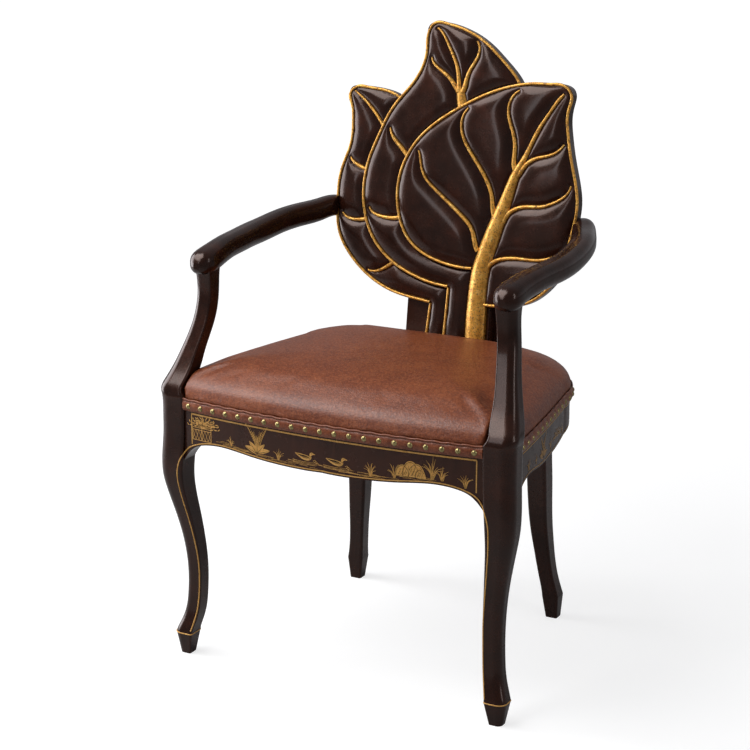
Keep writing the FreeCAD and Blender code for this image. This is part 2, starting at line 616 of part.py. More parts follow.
def splat_screws():
    """Screws driven from behind through the splat into the front leaf."""
    screws = []
    for across, up in SPLAT_SCREW_SHARES:
        tip_out = -3 * LAYER_STEP - SPLAT_THICKNESS + SPLAT_SCREW_LENGTH
        tip = on_back(SPLAT_LEFT + (SPLAT_RIGHT - SPLAT_LEFT) * across, SPLAT_HEIGHT * up, tip_out)
        screws.append(screw(tip, -BACK_OUT, SPLAT_SCREW_RADIUS, SPLAT_SCREW_LENGTH, SPLAT_SCREW_HEAD_RADIUS,
                            SPLAT_SCREW_HEAD_HEIGHT))
    return screws


def pad_form(grow, base):
    """Crowned padding: the seat plan drawn in towards a rounded top."""
    sections = [seat_plan(base + (CROWN_HEIGHT + grow) * rise, grow, share) for rise, share in PAD_SHARES]
    return Part.makeLoft(sections, True, False)


def leg_notch():
    """Space that the right front leg and its leaning post take out of the seat."""
    low = RAIL_TOP - LEATHER_SKIRT - OVERRUN
    high = RAIL_TOP + CROWN_HEIGHT + OVERRUN
    far_x = FRAME_FRONT_HALF_WIDTH + OVERRUN
    far_y = -FRAME_FRONT - OVERRUN
    lean = NOTCH_SLOPE_SHARE * (high - RAIL_TOP)
    profile = [Vector(NOTCH_X, far_y, low), Vector(NOTCH_X, NOTCH_Y, low), Vector(NOTCH_X, NOTCH_Y, RAIL_TOP),
               Vector(NOTCH_X, NOTCH_Y + lean, high), Vector(NOTCH_X, far_y, high)]
    return Part.Face(Part.makePolygon(profile + profile[:1])).extrude(RIGHT * (far_x - NOTCH_X))


def splat_notch():
    """Space behind the seat that the splat and the stems stand in."""
    low = Vector(SPLAT_LEFT - PAD_CLEARANCE, SPLAT_NOTCH_Y, RAIL_TOP)
    high = Vector(SPLAT_RIGHT + PAD_CLEARANCE, FRAME_REAR + OVERRUN, RAIL_TOP + CROWN_HEIGHT + OVERRUN)
    return box(low, high)


def skirt_space():
    """Space outside the frame that the leather's skirt and band take."""
    low = RAIL_TOP - LEATHER_SKIRT
    return seat_prism(low, RAIL_TOP, LEATHER + OVERRUN).cut(seat_prism(low, RAIL_TOP))


def nail_band():
    """Leather strip round the frame with a piped upper edge."""
    low = RAIL_TOP - LEATHER_SKIRT
    top = low + BAND_HEIGHT
    strip = seat_prism(low, top, LEATHER + BAND_THICKNESS)
    welt = seat_prism(top, top + WELT_RADIUS, LEATHER + WELT_RADIUS)
    return strip.fuse(welt).cut(seat_prism(low, top + WELT_RADIUS, LEATHER))


def nail(place, outward):
    """Domed nail with its shank in the rail."""
    rim_point = place + UP * NAIL_RADIUS
    crest = place + outward * NAIL_HEIGHT
    bulge = (NAIL_RADIUS ** 2 + NAIL_HEIGHT ** 2) / (2 * NAIL_HEIGHT)
    hub = place + outward * (NAIL_HEIGHT - bulge)
    shoulder = hub + ((rim_point - hub) + (crest - hub)).normalize() * bulge
    profile = Part.Wire([three_point_arc(rim_point, shoulder, crest), Part.makeLine(crest, place),
                         Part.makeLine(place, rim_point)])
    dome = Part.Face(profile).revolve(place, outward, 360)
    return dome.fuse(Part.makeCylinder(NAIL_SHANK_RADIUS, NAIL_SHANK_LENGTH, place, -outward))


def nail_row(edges, trim_start, trim_stop):
    """Nails at an even pitch along joined edges, clear of both ends."""
    lengths = [edge.Length for edge in edges]
    usable = sum(lengths) - trim_start - trim_stop
    gaps = max(1, round(usable / NAIL_PITCH))
    nails = []
    for index in range(gaps + 1):
        along = trim_start + usable * index / gaps
        for edge, length in zip(edges, lengths):
            if along <= length:
                break
            along -= length
        along = min(along, edge.Length)
        parameter = edge.getParameterByLength(along)
        outward = edge.tangentAt(parameter).cross(UP)
        nails.append(nail(edge.valueAt(parameter), outward))
    return nails


def nail_rows():
    """Front, right, rear and left rows of nails on the middle of the band."""
    height = RAIL_TOP - LEATHER_SKIRT + BAND_HEIGHT / 2
    front, right, corner, rear, _, _ = seat_plan(height, LEATHER + BAND_THICKNESS).Edges
    corner_gap = FRAME_FRONT_HALF_WIDTH - NOTCH_X + NAIL_PITCH / 2
    side_gap = FRAME_FRONT - FRAME_FRONT_BOW + NOTCH_Y + NAIL_PITCH / 2
    front_nails = nail_row([front], corner_gap, corner_gap)
    right_nails = nail_row([right, corner], side_gap, NAIL_PITCH / 2)
    rear_nails = nail_row([rear], NAIL_PITCH / 2, NAIL_PITCH / 2)
    left_nails = [mirrored(item) for item in right_nails]
    return front_nails, right_nails, rear_nails, left_nails


def post_dowel():
    """Dowel between the right front leg and its post."""
    base = leg_top_centre() + Vector(0, POST_LEAN_BACK * POST_SHARES[1][2] / 2, -POST_DOWEL_LENGTH / 2)
    return Part.makeCylinder(POST_DOWEL_RADIUS, POST_DOWEL_LENGTH, base, UP)


def arm_dowel():
    """Dowel between the right post and the arm."""
    _, lean_in, lean_back, _ = POST_SHARES[-1]
    top = leg_top_centre() + Vector(-POST_LEAN_IN * lean_in, POST_LEAN_BACK * lean_back, POST_TOP - RAIL_TOP)
    return Part.makeCylinder(ARM_DOWEL_RADIUS, ARM_DOWEL_LENGTH, top - UP * ARM_DOWEL_LENGTH, UP)


def arm_end_dowel(out):
    """Dowel from the right arm's rear end into the edge of a leaf, at a depth from the front leaf's face."""
    height = (ARM_FRONT_Z + ARM_RISE - BACK_Z) / math.cos(RECLINE)
    inner = on_back(ARM_END_X - ARM_DOWEL_IN_LEAF, height, out)
    return Part.makeCylinder(ARM_END_DOWEL_RADIUS, ARM_END_DOWEL_LENGTH, inner, RIGHT)


def arm_end_space():
    """Everything inside the plane on which the right arm's rear end meets the leaf."""
    return box(Vector(0, 0, BACK_Z), Vector(ARM_END_X, FRAME_REAR + OVERRUN, POST_TOP + OVERRUN + OVERRUN))


def both_sides(shapes):
    return Part.makeCompound(shapes + [mirrored(shape) for shape in shapes])


def block_centres():
    """Front and rear corner points of the frame's inside, on the right."""
    front_y = -FRAME_FRONT + FRAME_FRONT_BOW + RAIL_THICKNESS
    front = Vector(FRAME_FRONT_HALF_WIDTH - RAIL_THICKNESS, front_y, 0)
    rear = Vector(REAR_LEG_X + REAR_LEG_WIDTH / 2, REAR_LEG_Y - REAR_LEG_WIDTH / 2, 0)
    return front, rear


def block_screw(centre, corner_direction):
    """Screw through the middle of a corner block, from its inner face towards the corner."""
    direction = Vector(corner_direction).normalize()
    middle = RAIL_TOP - SEAT_BOARD_THICKNESS - CORNER_BLOCK_HEIGHT / 2
    tip = centre + direction * (BLOCK_SCREW_LENGTH - CORNER_BLOCK_REACH / 2) + UP * middle
    return screw(tip, -direction, BLOCK_SCREW_RADIUS, BLOCK_SCREW_LENGTH, BLOCK_SCREW_HEAD_RADIUS,
                 BLOCK_SCREW_HEAD_HEIGHT)


def corner_block(centre, inside):
    """Glue block that fills a corner of the frame under the seat board."""
    low = RAIL_TOP - SEAT_BOARD_THICKNESS - CORNER_BLOCK_HEIGHT
    cube = Part.makeBox(CORNER_BLOCK_REACH, CORNER_BLOCK_REACH, CORNER_BLOCK_HEIGHT)
    cube.translate(Vector(-CORNER_BLOCK_REACH / 2, -CORNER_BLOCK_REACH / 2, 0))
    cube.rotate(ORIGIN, UP, 45)
    cube.translate(Vector(centre.x, centre.y, low))
    return cube.common(inside)


def seat_board(rear):
    """Board that lies on the corner blocks, level with the rails' top."""
    board = seat_prism(RAIL_TOP - SEAT_BOARD_THICKNESS, RAIL_TOP, -RAIL_THICKNESS - SEAT_BOARD_CLEARANCE)
    gap = Vector(SEAT_BOARD_CLEARANCE, SEAT_BOARD_CLEARANCE, 0)
    low = Vector(rear.BoundBox.XMin, rear.BoundBox.YMin, 0) - gap
    return board.cut(box(low, Vector(rear.BoundBox.XMax, FRAME_REAR, RAIL_TOP) + gap))


def back_pieces():
    """Three lapped leaves on a splat, with their gilded rims, veins and trunk."""
    front_line = front_leaf_outline()
    middle_line = middle_leaf_outline()
    rear_line = rear_leaf_outline()
    middle_stem = [stem_foot(middle_line[-1], MIDDLE_STEM_SPREAD), stem_foot(middle_line[0], 0)]
    rear_stem = [stem_foot(rear_line[-1], REAR_STEM_SPREAD), stem_foot(rear_line[0], 0)]
    front = leaf_board(front_line, [])
    middle = leaf_board(middle_line, middle_stem).cut(front)
    rear = cut_all(leaf_board(rear_line, rear_stem), [front, middle])
    stem = trunk().cut(front)
    screws = splat_screws()
    board = cut_all(splat(), [front, middle, rear] + screws)
    fork = middle_fork().cut(front)
    front_rim = rim(front_line, [], [stem])
    middle_rim = rim(middle_line, middle_stem, [front, stem])
    rear_rim = rim(rear_line, rear_stem, [front, middle])
    front_veins = leaf_veins(FRONT_BOX, FRONT_VEIN_SHARES, FRONT_VEIN_WIDTH, 0, [stem, front_rim])
    middle_veins = leaf_veins(MIDDLE_BOX, MIDDLE_VEIN_SHARES, MIDDLE_VEIN_WIDTH, -LAYER_STEP,
                              [front, fork, middle_rim])
    rear_veins = leaf_veins(REAR_BOX, REAR_VEIN_SHARES, REAR_VEIN_WIDTH, -2 * LAYER_STEP,
                            [front, middle, rear_rim])
    return {
        "front_leaf": cut_all(front, screws),
        "middle_leaf": cut_all(middle, screws),
        "rear_leaf": cut_all(rear, screws),
        "splat": board,
        "splat_screws": Part.makeCompound(screws),
        "gilded_trunk": stem,
        "front_leaf_rim": front_rim,
        "middle_leaf_rim": middle_rim,
        "rear_leaf_rim": rear_rim,
        "front_leaf_veins": Part.makeCompound(front_veins),
        "middle_leaf_veins": Part.makeCompound([fork] + middle_veins),
        "rear_leaf_veins": Part.makeCompound(rear_veins)}


def frame_pieces(back):
    """Rails, legs, posts, arms, and the blocks, screws and dowels that join them."""
    ring = rail_ring()
    blank = front_rail_blank(ring)
    front = front_rail(blank)
    post_pin = post_dowel()
    rear = rear_rail().cut(back["splat"])
    arm_pin = arm_dowel()
    front_centre, rear_centre = block_centres()
    front_screw = block_screw(front_centre, RIGHT - BACKWARD)
    rear_screw = block_screw(rear_centre, RIGHT + BACKWARD)
    hind = cut_all(rear_leg(), [rear, rear_screw, skirt_space()])
    right = cut_all(side_rail(ring), [blank, post_pin, front_screw, rear_screw, hind])
    leg = cut_all(front_leg(), [front, right, post_pin, front_screw])
    inside = seat_prism(RAIL_TOP - RAIL_HEIGHT, RAIL_TOP, -RAIL_THICKNESS)
    front_block = cut_all(corner_block(front_centre, inside), [leg, front_screw])
    rear_block = cut_all(corner_block(rear_centre, inside), [hind, rear, rear_screw])
    full_arm = arm()
    post = cut_all(arm_post(), [full_arm, post_pin, arm_pin])
    right_end = arm_end_dowel(-LEAF_THICKNESS / 2)
    left_end = mirrored(arm_end_dowel(-2 * LAYER_STEP - LEAF_THICKNESS / 2))
    back["front_leaf"] = back["front_leaf"].cut(right_end)
    back["rear_leaf"] = back["rear_leaf"].cut(left_end)
    between = arm_end_space()
    right_arm = cut_all(full_arm, [arm_pin, between, right_end, back["front_leaf"], back["front_leaf_rim"]])
    left_arm = cut_all(mirrored(full_arm), [mirrored(arm_pin), mirrored(between), left_end, back["rear_leaf"],
                                            back["rear_leaf_rim"]])
    return {
        "front_rail": front,
        "side_rail_right": right,
        "side_rail_left": mirrored(right),
        "rear_rail": rear,
        "front_leg_right": leg,
        "front_leg_left": mirrored(leg),
        "rear_leg_right": hind,
        "rear_leg_left": mirrored(hind),
        "arm_post_right": post,
        "arm_post_left": mirrored(post),
        "arm_right": right_arm,
        "arm_left": left_arm,
        "post_dowels": Part.makeCompound([post_pin, mirrored(post_pin)]),
        "arm_dowels": Part.makeCompound([arm_pin, mirrored(arm_pin)]),
        "arm_end_dowels": Part.makeCompound([right_end, left_end]),
        "corner_blocks": both_sides([front_block, rear_block]),
        "corner_block_screws": both_sides([front_screw, rear_screw])}


def seat_pieces(frame):
    """Seat board, padding, leather cover, nailed band and brass nails."""
    front, right, rear, left = nail_rows()
    notch = leg_notch()
    notches = [notch, mirrored(notch), splat_notch()]
    low = RAIL_TOP - LEATHER_SKIRT
    padding = pad_form(0, RAIL_TOP)
    outside = pad_form(LEATHER, RAIL_TOP).fuse(seat_prism(low, RAIL_TOP, LEATHER))
    nails = {"front_nails": front, "right_nails": right, "rear_nails": rear, "left_nails": left}
    holes = [Part.makeCompound(row) for row in nails.values()]
    for name, row in (("front_rail", front), ("side_rail_right", right), ("rear_rail", rear),
                      ("side_rail_left", left), ("side_rail_right", rear), ("side_rail_left", rear),
                      ("rear_leg_right", rear), ("rear_leg_left", rear), ("rear_leg_right", right),
                      ("rear_leg_left", left)):
        frame[name] = frame[name].cut(Part.makeCompound(row))
    legs = [frame[f"{place}_leg_{side}"] for place in ("front", "rear") for side in ("left", "right")]
    pieces = {
        "seat_board": cut_all(seat_board(frame["rear_rail"]), legs),
        "seat_padding": cut_all(padding, notches),
        "seat_cover": cut_all(outside, [padding, seat_prism(low, RAIL_TOP)] + notches + holes),
        "nail_band": cut_all(nail_band(), notches + holes)}
    for name, row in nails.items():
        pieces[name] = Part.makeCompound(row)
    return pieces


def main():
    os.makedirs("parts", exist_ok=True)
    back = back_pieces()
    frame = frame_pieces(back)
    seat = seat_pieces(frame)
    for pieces in (back, frame, seat):
        for name, shape in pieces.items():
            shape.exportStep(f"parts/{name}.step")


main()
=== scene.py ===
"""Dresses the armchair: carved lacquered leaves, gilding, leather seat, brass nails and the painted apron."""

import math
import random

import bpy
import numpy as np
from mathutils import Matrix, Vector
from mathutils.bvhtree import BVHTree


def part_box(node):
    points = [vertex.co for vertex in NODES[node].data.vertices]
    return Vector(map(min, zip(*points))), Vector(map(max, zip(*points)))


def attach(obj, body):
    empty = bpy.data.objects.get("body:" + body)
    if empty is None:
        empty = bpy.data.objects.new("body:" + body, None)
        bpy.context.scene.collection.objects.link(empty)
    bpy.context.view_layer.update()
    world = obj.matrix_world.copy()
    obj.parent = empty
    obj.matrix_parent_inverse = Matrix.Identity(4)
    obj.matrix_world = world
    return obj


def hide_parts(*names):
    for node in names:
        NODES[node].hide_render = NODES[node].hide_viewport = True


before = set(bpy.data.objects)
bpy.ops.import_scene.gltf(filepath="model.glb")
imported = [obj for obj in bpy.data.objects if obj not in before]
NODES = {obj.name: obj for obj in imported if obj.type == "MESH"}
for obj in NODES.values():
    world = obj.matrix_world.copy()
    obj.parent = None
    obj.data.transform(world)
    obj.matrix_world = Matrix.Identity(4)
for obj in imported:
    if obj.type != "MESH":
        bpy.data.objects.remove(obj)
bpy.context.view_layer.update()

# Sizes in metres, the same as in the part's source
RAIL_TOP = 0.440
BAND_LOW = 0.420
BAND_TOP = 0.437
LEATHER_OUT = 0.002
FRAME_FRONT = 0.247
FRAME_FRONT_BOW = 0.026
FRAME_FRONT_HALF_WIDTH = 0.298
FRAME_SIDE_BOW = 0.003
FRAME_SIDE_END = 0.079
FRAME_REAR_HALF_WIDTH = 0.254
FRAME_CORNER_OUT = 0.233
FRAME_CORNER_BACK = 0.148
FRAME_REAR_FLAT = 0.185
FRAME_REAR = 0.196
PAD_CENTRE_Y = -0.020
BACK_ORIGIN = Vector((0.0, 0.154, 0.480))
BACK_RECLINE = math.radians(8.0)
BACK_RIGHT = Vector((1.0, 0.0, 0.0))
BACK_UP = Vector((0.0, math.sin(BACK_RECLINE), math.cos(BACK_RECLINE)))
BACK_OUT = Vector((0.0, -math.cos(BACK_RECLINE), math.sin(BACK_RECLINE)))
LAYER_STEP = 0.008
UP = Vector((0.0, 0.0, 1.0))
FORWARD = Vector((0.0, -1.0, 0.0))


# Helpers for meshes

def piece(name, vertices, faces, material, smooth=True):
    """New mesh that rides on the chair."""
    mesh = bpy.data.meshes.new(name)
    mesh.from_pydata([tuple(v) for v in vertices], [], faces)
    mesh.validate()
    if smooth:
        mesh.shade_smooth()
    obj = bpy.data.objects.new(name, mesh)
    bpy.context.scene.collection.objects.link(obj)
    mesh.materials.append(material)
    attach(obj, "root")
    return obj


def tree_of(*names):
    """Search tree over the faces of CAD nodes."""
    vertices = []
    faces = []
    for name in names:
        mesh = NODES[name].data
        start = len(vertices)
        world = NODES[name].matrix_world
        vertices += [world @ v.co for v in mesh.vertices]
        faces += [tuple(start + i for i in p.vertices) for p in mesh.polygons]
    return BVHTree.FromPolygons(vertices, faces)


def islands(name):
    """Middle of each separate solid of a CAD node."""
    mesh = NODES[name].data
    world = NODES[name].matrix_world
    places = [world @ v.co for v in mesh.vertices]
    parent = {}

    def find(key):
        while parent.setdefault(key, key) != key:
            parent[key] = parent[parent[key]]
            key = parent[key]
        return key

    keys = [tuple(round(c, 5) for c in place) for place in places]
    for polygon in mesh.polygons:
        ids = [keys[i] for i in polygon.vertices]
        for other in ids[1:]:
            parent[find(ids[0])] = find(other)
    groups = {}
    for key in set(keys):
        groups.setdefault(find(key), []).append(key)
    return [Vector(np.mean(group, axis=0)) for group in groups.values()]


def smooth_path(points, steps):
    """Points along a smooth curve through the given ones."""
    points = [np.array(p, dtype=float) for p in points]
    ends = [2 * points[0] - points[1]] + points + [2 * points[-1] - points[-2]]
    path = []
    for a, b, c, d in zip(ends, ends[1:], ends[2:], ends[3:]):
        for k in range(steps):
            t = k / steps
            path.append(0.5 * (2 * b + (c - a) * t + (2 * a - 5 * b + 4 * c - d) * t * t
                               + (3 * b - a - 3 * c + d) * t ** 3))
    path.append(points[-1])
    return path


def ring_faces(rings, sides, closed=False):
    """Faces between neighbouring rings of points, and from the last ring to the first if closed."""
    faces = []
    for ring in range(rings if closed else rings - 1):
        near = ring * sides
        far = (ring + 1) % rings * sides
        for side in range(sides):
            after = (side + 1) % sides
            faces.append((near + side, near + after, far + after, far + side))
    return faces


# Materials

class Graph:
    """Short names for building one material's nodes."""

    def __init__(self, name):
        self.material = bpy.data.materials.new(name)
        self.material.use_nodes = True
        self.tree = self.material.node_tree
        self.shader = self.tree.nodes["Principled BSDF"]
        self.coordinates = self.tree.nodes.new("ShaderNodeTexCoord").outputs["Object"]

    def link(self, source, target):
        self.tree.links.new(source, target)

    def stretched(self, scale):
        """Coordinates with a scale along each axis."""
        node = self.tree.nodes.new("ShaderNodeMapping")
        node.inputs["Scale"].default_value = scale
        self.link(self.coordinates, node.inputs["Vector"])
        return node.outputs["Vector"]

    def noise(self, scale, detail=4.0, roughness=0.55, distortion=0.0, vector=None):
        """Cloudy pattern, finer with a higher scale."""
        node = self.tree.nodes.new("ShaderNodeTexNoise")
        node.inputs["Scale"].default_value = scale
        node.inputs["Detail"].default_value = detail
        node.inputs["Roughness"].default_value = roughness
        node.inputs["Distortion"].default_value = distortion
        self.link(vector or self.coordinates, node.inputs["Vector"])
        return node.outputs["Fac"]

    def cells(self, scale):
        """Distance from the nearest of many scattered points."""
        node = self.tree.nodes.new("ShaderNodeTexVoronoi")
        node.inputs["Scale"].default_value = scale
        self.link(self.coordinates, node.inputs["Vector"])
        return node.outputs["Distance"]

    def ramp(self, factor, stops):
        """Colours or levels by the factor's value."""
        node = self.tree.nodes.new("ShaderNodeValToRGB")
        while len(node.color_ramp.elements) < len(stops):
            node.color_ramp.elements.new(0.5)
        for element, (place, colour) in zip(node.color_ramp.elements, stops):
            element.position = place
            element.color = (*colour, 1.0) if isinstance(colour, tuple) else (colour, colour, colour, 1.0)
        self.link(factor, node.inputs["Fac"])
        return node.outputs["Color"]

    def mix(self, factor, first, second):
        """The first colour, turning into the second as the factor rises."""
        node = self.tree.nodes.new("ShaderNodeMix")
        node.data_type = "RGBA"
        for socket, value in ((node.inputs[0], factor), (node.inputs[6], first), (node.inputs[7], second)):
            if isinstance(value, tuple):
                socket.default_value = (*value, 1.0)
            else:
                self.link(value, socket)
        return node.outputs[2]

    def span(self, factor, low, high, to_low, to_high):
        """The factor's range mapped onto another."""
        node = self.tree.nodes.new("ShaderNodeMapRange")
        for key, value in (("From Min", low), ("From Max", high), ("To Min", to_low), ("To Max", to_high)):
            node.inputs[key].default_value = value
        self.link(factor, node.inputs["Value"])
        return node.outputs["Result"]

    def pointiness(self):
        """High on convex edges, low in hollows."""
        return self.tree.nodes.new("ShaderNodeNewGeometry").outputs["Pointiness"]

    def bump(self, layers):
        """Surface relief from several patterns, each with its height in metres."""
        normal = None
        for height, distance in layers:
            node = self.tree.nodes.new("ShaderNodeBump")
            node.inputs["Distance"].default_value = distance
            self.link(height, node.inputs["Height"])
            if normal:
                self.link(normal, node.inputs["Normal"])
            normal = node.outputs["Normal"]
        self.link(normal, self.shader.inputs["Normal"])

    def finish(self, colour, roughness, **values):
        """The material, with further shader inputs by name."""
        self.link(colour, self.shader.inputs["Base Color"])
        if isinstance(roughness, float):
            self.shader.inputs["Roughness"].default_value = roughness
        else:
            self.link(roughness, self.shader.inputs["Roughness"])
        for key, value in values.items():
            socket = self.shader.inputs[key.replace("_", " ")]
            if isinstance(value, (float, tuple)):
                socket.default_value = value
            else:
                self.link(value, socket)
        return self.material


def lacquer(name, shine):
    """Black-brown lacquer with a reddish ground that shows through in clouds and along worn edges."""
    g = Graph(name)
    clouds = g.ramp(g.noise(24.0, 6.0, 0.62), [(0.30, (0.0080, 0.0028, 0.0017)),
                                               (0.55, (0.0190, 0.0058, 0.0032)),
                                               (0.80, (0.0420, 0.0115, 0.0058))])
    specks = g.ramp(g.noise(900.0, 2.0), [(0.58, 0.0), (0.76, 0.6)])
    speckled = g.mix(specks, clouds, (0.050, 0.012, 0.006))
    worn = g.mix(g.ramp(g.pointiness(), [(0.53, 0.0), (0.62, 0.5)]), speckled, (0.050, 0.016, 0.008))
    rough = g.span(g.noise(60.0, 5.0), 0.3, 0.7, 0.19, 0.30)
    waves = g.noise(7.0, 2.0, 0.5, 0.0, g.stretched((4.0, 4.0, 1.0)))
    g.bump([(waves, 0.0006), (g.noise(420.0, 3.0), 0.00005)])
    return g.finish(worn, rough, Specular_IOR_Level=0.28 * shine, Specular_Tint=(1.0, 0.62, 0.50, 1.0),
                    Coat_Weight=0.32 * shine, Coat_Roughness=0.12)


def gilding():
    """Old gold leaf over dark clay, rubbed through in specks, and darkened in the hollows as painted shade.
    """
    g = Graph("gilding")
    tone = g.ramp(g.noise(90.0, 5.0, 0.6), [(0.30, (0.54, 0.240, 0.032)), (0.55, (0.78, 0.390, 0.064)),
                                            (0.80, (0.95, 0.63, 0.19))])
    specks = g.ramp(g.noise(340.0, 4.0, 0.75), [(0.39, 1.0), (0.45, 0.0)])
    flecked = g.mix(specks, tone, (0.07, 0.030, 0.010))
    # Painted shade: the gold turns dark brown in the hollows and where the gilding meets the wood.
    hollow_shaded = g.mix(g.ramp(g.pointiness(), [(0.42, 0.85), (0.49, 0.0)]), flecked, (0.10, 0.040, 0.010))
    rough = g.span(g.noise(240.0, 3.0), 0.3, 0.7, 0.22, 0.40)
    g.bump([(g.noise(560.0, 3.0, 0.75), 0.00025), (g.noise(70.0, 3.0), 0.0008)])
    metal = g.span(specks, 0.0, 1.0, 0.50, 0.05)
    return g.finish(hollow_shaded, rough, Metallic=metal)


def gold_paint(name, gain):
    """Thin gold paint of the lines and the pictures, duller where it is worn."""
    g = Graph(name)
    stops = ((0.32, (0.56, 0.270, 0.055)), (0.60, (0.76, 0.42, 0.11)), (0.85, (0.88, 0.56, 0.19)))
    tone = g.ramp(g.noise(420.0, 4.0), [(place, tuple(gain * c for c in colour)) for place, colour in stops])
    return g.finish(tone, g.span(g.noise(300.0), 0.3, 0.7, 0.38, 0.55), Metallic=0.25)


def leather():
    """Chestnut leather: mottled dye, fine grain and a waxed sheen."""
    g = Graph("leather")
    clouds = g.ramp(g.noise(16.0, 7.0, 0.65), [(0.28, (0.125, 0.023, 0.0055)),
                                               (0.52, (0.190, 0.041, 0.0095)),
                                               (0.78, (0.265, 0.068, 0.0180))])
    creases = g.ramp(g.noise(120.0, 6.0, 0.75), [(0.38, 0.45), (0.53, 0.0)])
    creased = g.mix(creases, clouds, (0.088, 0.015, 0.004))
    flecks = g.ramp(g.noise(230.0, 5.0, 0.8), [(0.47, 0.0), (0.60, 0.55)])
    flecked = g.mix(flecks, creased, (0.370, 0.118, 0.046))
    grain = g.cells(380.0)
    pores = g.mix(g.ramp(grain, [(0.08, 0.75), (0.42, 0.0)]), flecked, (0.060, 0.011, 0.003))
    rough = g.span(g.noise(300.0, 4.0), 0.3, 0.7, 0.34, 0.50)
    g.bump([(g.noise(22.0, 3.0, 0.5), 0.0003), (grain, 0.00022), (g.noise(900.0, 3.0), 0.00010)])
    return g.finish(pores, rough)


def brass():
    """Antique brass of the nails, unevenly toned."""
    g = Graph("antique_brass")
    tone = g.ramp(g.noise(380.0, 4.0, 0.6), [(0.30, (0.190, 0.150, 0.055)), (0.60, (0.400, 0.320, 0.135)),
                                             (0.85, (0.56, 0.47, 0.24))])
    return g.finish(tone, g.span(g.noise(500.0), 0.3, 0.7, 0.20, 0.36), Metallic=0.85)


def wood(name, dark, light, roughness):
    """Plain wood with its grain."""
    g = Graph(name)
    grain = g.noise(30.0, 6.0, 0.6, 0.6, g.stretched((1.0, 6.0, 6.0)))
    g.bump([(grain, 0.0003)])
    return g.finish(g.ramp(grain, [(0.3, dark), (0.7, light)]), roughness)


def steel():
    """Plain steel of the screws."""
    g = Graph("screw_steel")
    tone = g.ramp(g.noise(600.0, 4.0), [(0.3, (0.30, 0.30, 0.31)), (0.7, (0.46, 0.46, 0.47))])
    return g.finish(tone, 0.36, Metallic=0.9)


def foam():
    """Felted padding under the leather."""
    g = Graph("padding_felt")
    fibres = g.noise(700.0, 5.0)
    g.bump([(fibres, 0.0006)])
    return g.finish(g.ramp(fibres, [(0.3, (0.48, 0.44, 0.36)), (0.7, (0.66, 0.62, 0.53))]), 0.9)


LACQUER = lacquer("lacquer", 1.0)
DULL_LACQUER = lacquer("dull_lacquer", 0.35)
GILDING = gilding()
GOLD_PAINT = gold_paint("gold_paint", 1.0)
DIM_GOLD = gold_paint("worn_gold_paint", 0.60)
LEATHER = leather()
BRASS = brass()
BARE_WOOD = wood("bare_wood", (0.26, 0.15, 0.07), (0.42, 0.27, 0.14), 0.65)
PLYWOOD = wood("plywood", (0.38, 0.26, 0.14), (0.52, 0.38, 0.22), 0.7)
STEEL = steel()
FOAM = foam()

FINISHES = (
    (LACQUER, ("front_leg_left", "front_leg_right", "rear_leg_left", "rear_leg_right", "front_rail",
               "rear_rail", "arm_post_left", "arm_post_right", "arm_left", "arm_right", "splat", "front_leaf",
               "middle_leaf", "rear_leaf")),
    (DULL_LACQUER, ("side_rail_left", "side_rail_right")),
    (GILDING, ("gilded_trunk", "front_leaf_rim", "middle_leaf_rim", "rear_leaf_rim", "front_leaf_veins",
               "middle_leaf_veins", "rear_leaf_veins")),
    (BRASS, ("front_nails", "left_nails", "right_nails", "rear_nails")),
    (BARE_WOOD, ("post_dowels", "arm_dowels", "arm_end_dowels", "corner_blocks")),
    (PLYWOOD, ("seat_board",)),
    (STEEL, ("corner_block_screws", "splat_screws")),
    (FOAM, ("seat_padding",)),
    (LEATHER, ("seat_cover", "nail_band")))
for finish, names in FINISHES:
    for node_name in names:
        mesh = NODES[node_name].data
        mesh.materials.clear()
        mesh.materials.append(finish)


# Seat plan, walked once round from the front's middle

FRONT_STEPS = 240
SIDE_STEPS = 130
CORNER_STEPS = 70
REAR_STEPS = 80


def arc_points(a, b, c, count):
    """Points on the circle arc from a through b to c, without c."""
    (ax, ay), (bx, by), (cx, cy) = a, b, c
    d = 2 * (ax * (by - cy) + bx * (cy - ay) + cx * (ay - by))
    aa, bb, cc = ax * ax + ay * ay, bx * bx + by * by, cx * cx + cy * cy
    ux = (aa * (by - cy) + bb * (cy - ay) + cc * (ay - by)) / d
    uy = (aa * (cx - bx) + bb * (ax - cx) + cc * (bx - ax)) / d
    radius = math.hypot(ax - ux, ay - uy)
    start = math.atan2(ay - uy, ax - ux)
    middle = (math.atan2(by - uy, bx - ux) - start) % (2 * math.pi)
    stop = (math.atan2(cy - uy, cx - ux) - start) % (2 * math.pi)
    if middle > stop:
        stop -= 2 * math.pi
    angles = [start + stop * k / count for k in range(count)]
    return [(ux + radius * math.cos(angle), uy + radius * math.sin(angle)) for angle in angles]


def seat_plan(grow):
    """Outline of the seat seen from above, moved out by grow, anticlockwise from the middle of the front."""
    front = -FRAME_FRONT - grow
    corner = (FRAME_FRONT_HALF_WIDTH + grow, front + FRAME_FRONT_BOW)
    side_x = (FRAME_FRONT_HALF_WIDTH + FRAME_REAR_HALF_WIDTH) / 2 + FRAME_SIDE_BOW + grow
    side = (side_x, (corner[1] + FRAME_SIDE_END) / 2)
    bend = (FRAME_REAR_HALF_WIDTH + grow, FRAME_SIDE_END)
    turn = (FRAME_CORNER_OUT + grow, FRAME_CORNER_BACK + grow / 2)
    flat = (FRAME_REAR_FLAT, FRAME_REAR + grow)
    across = arc_points((-corner[0], corner[1]), (0.0, front), corner, FRONT_STEPS)
    half = across[FRONT_STEPS // 2:]
    half += arc_points(corner, side, bend, SIDE_STEPS) + arc_points(bend, turn, flat, CORNER_STEPS)
    half += [(FRAME_REAR_FLAT * (1 - k / REAR_STEPS), FRAME_REAR + grow) for k in range(REAR_STEPS + 1)]
    return half + [(-x, y) for x, y in reversed(half[1:-1])]


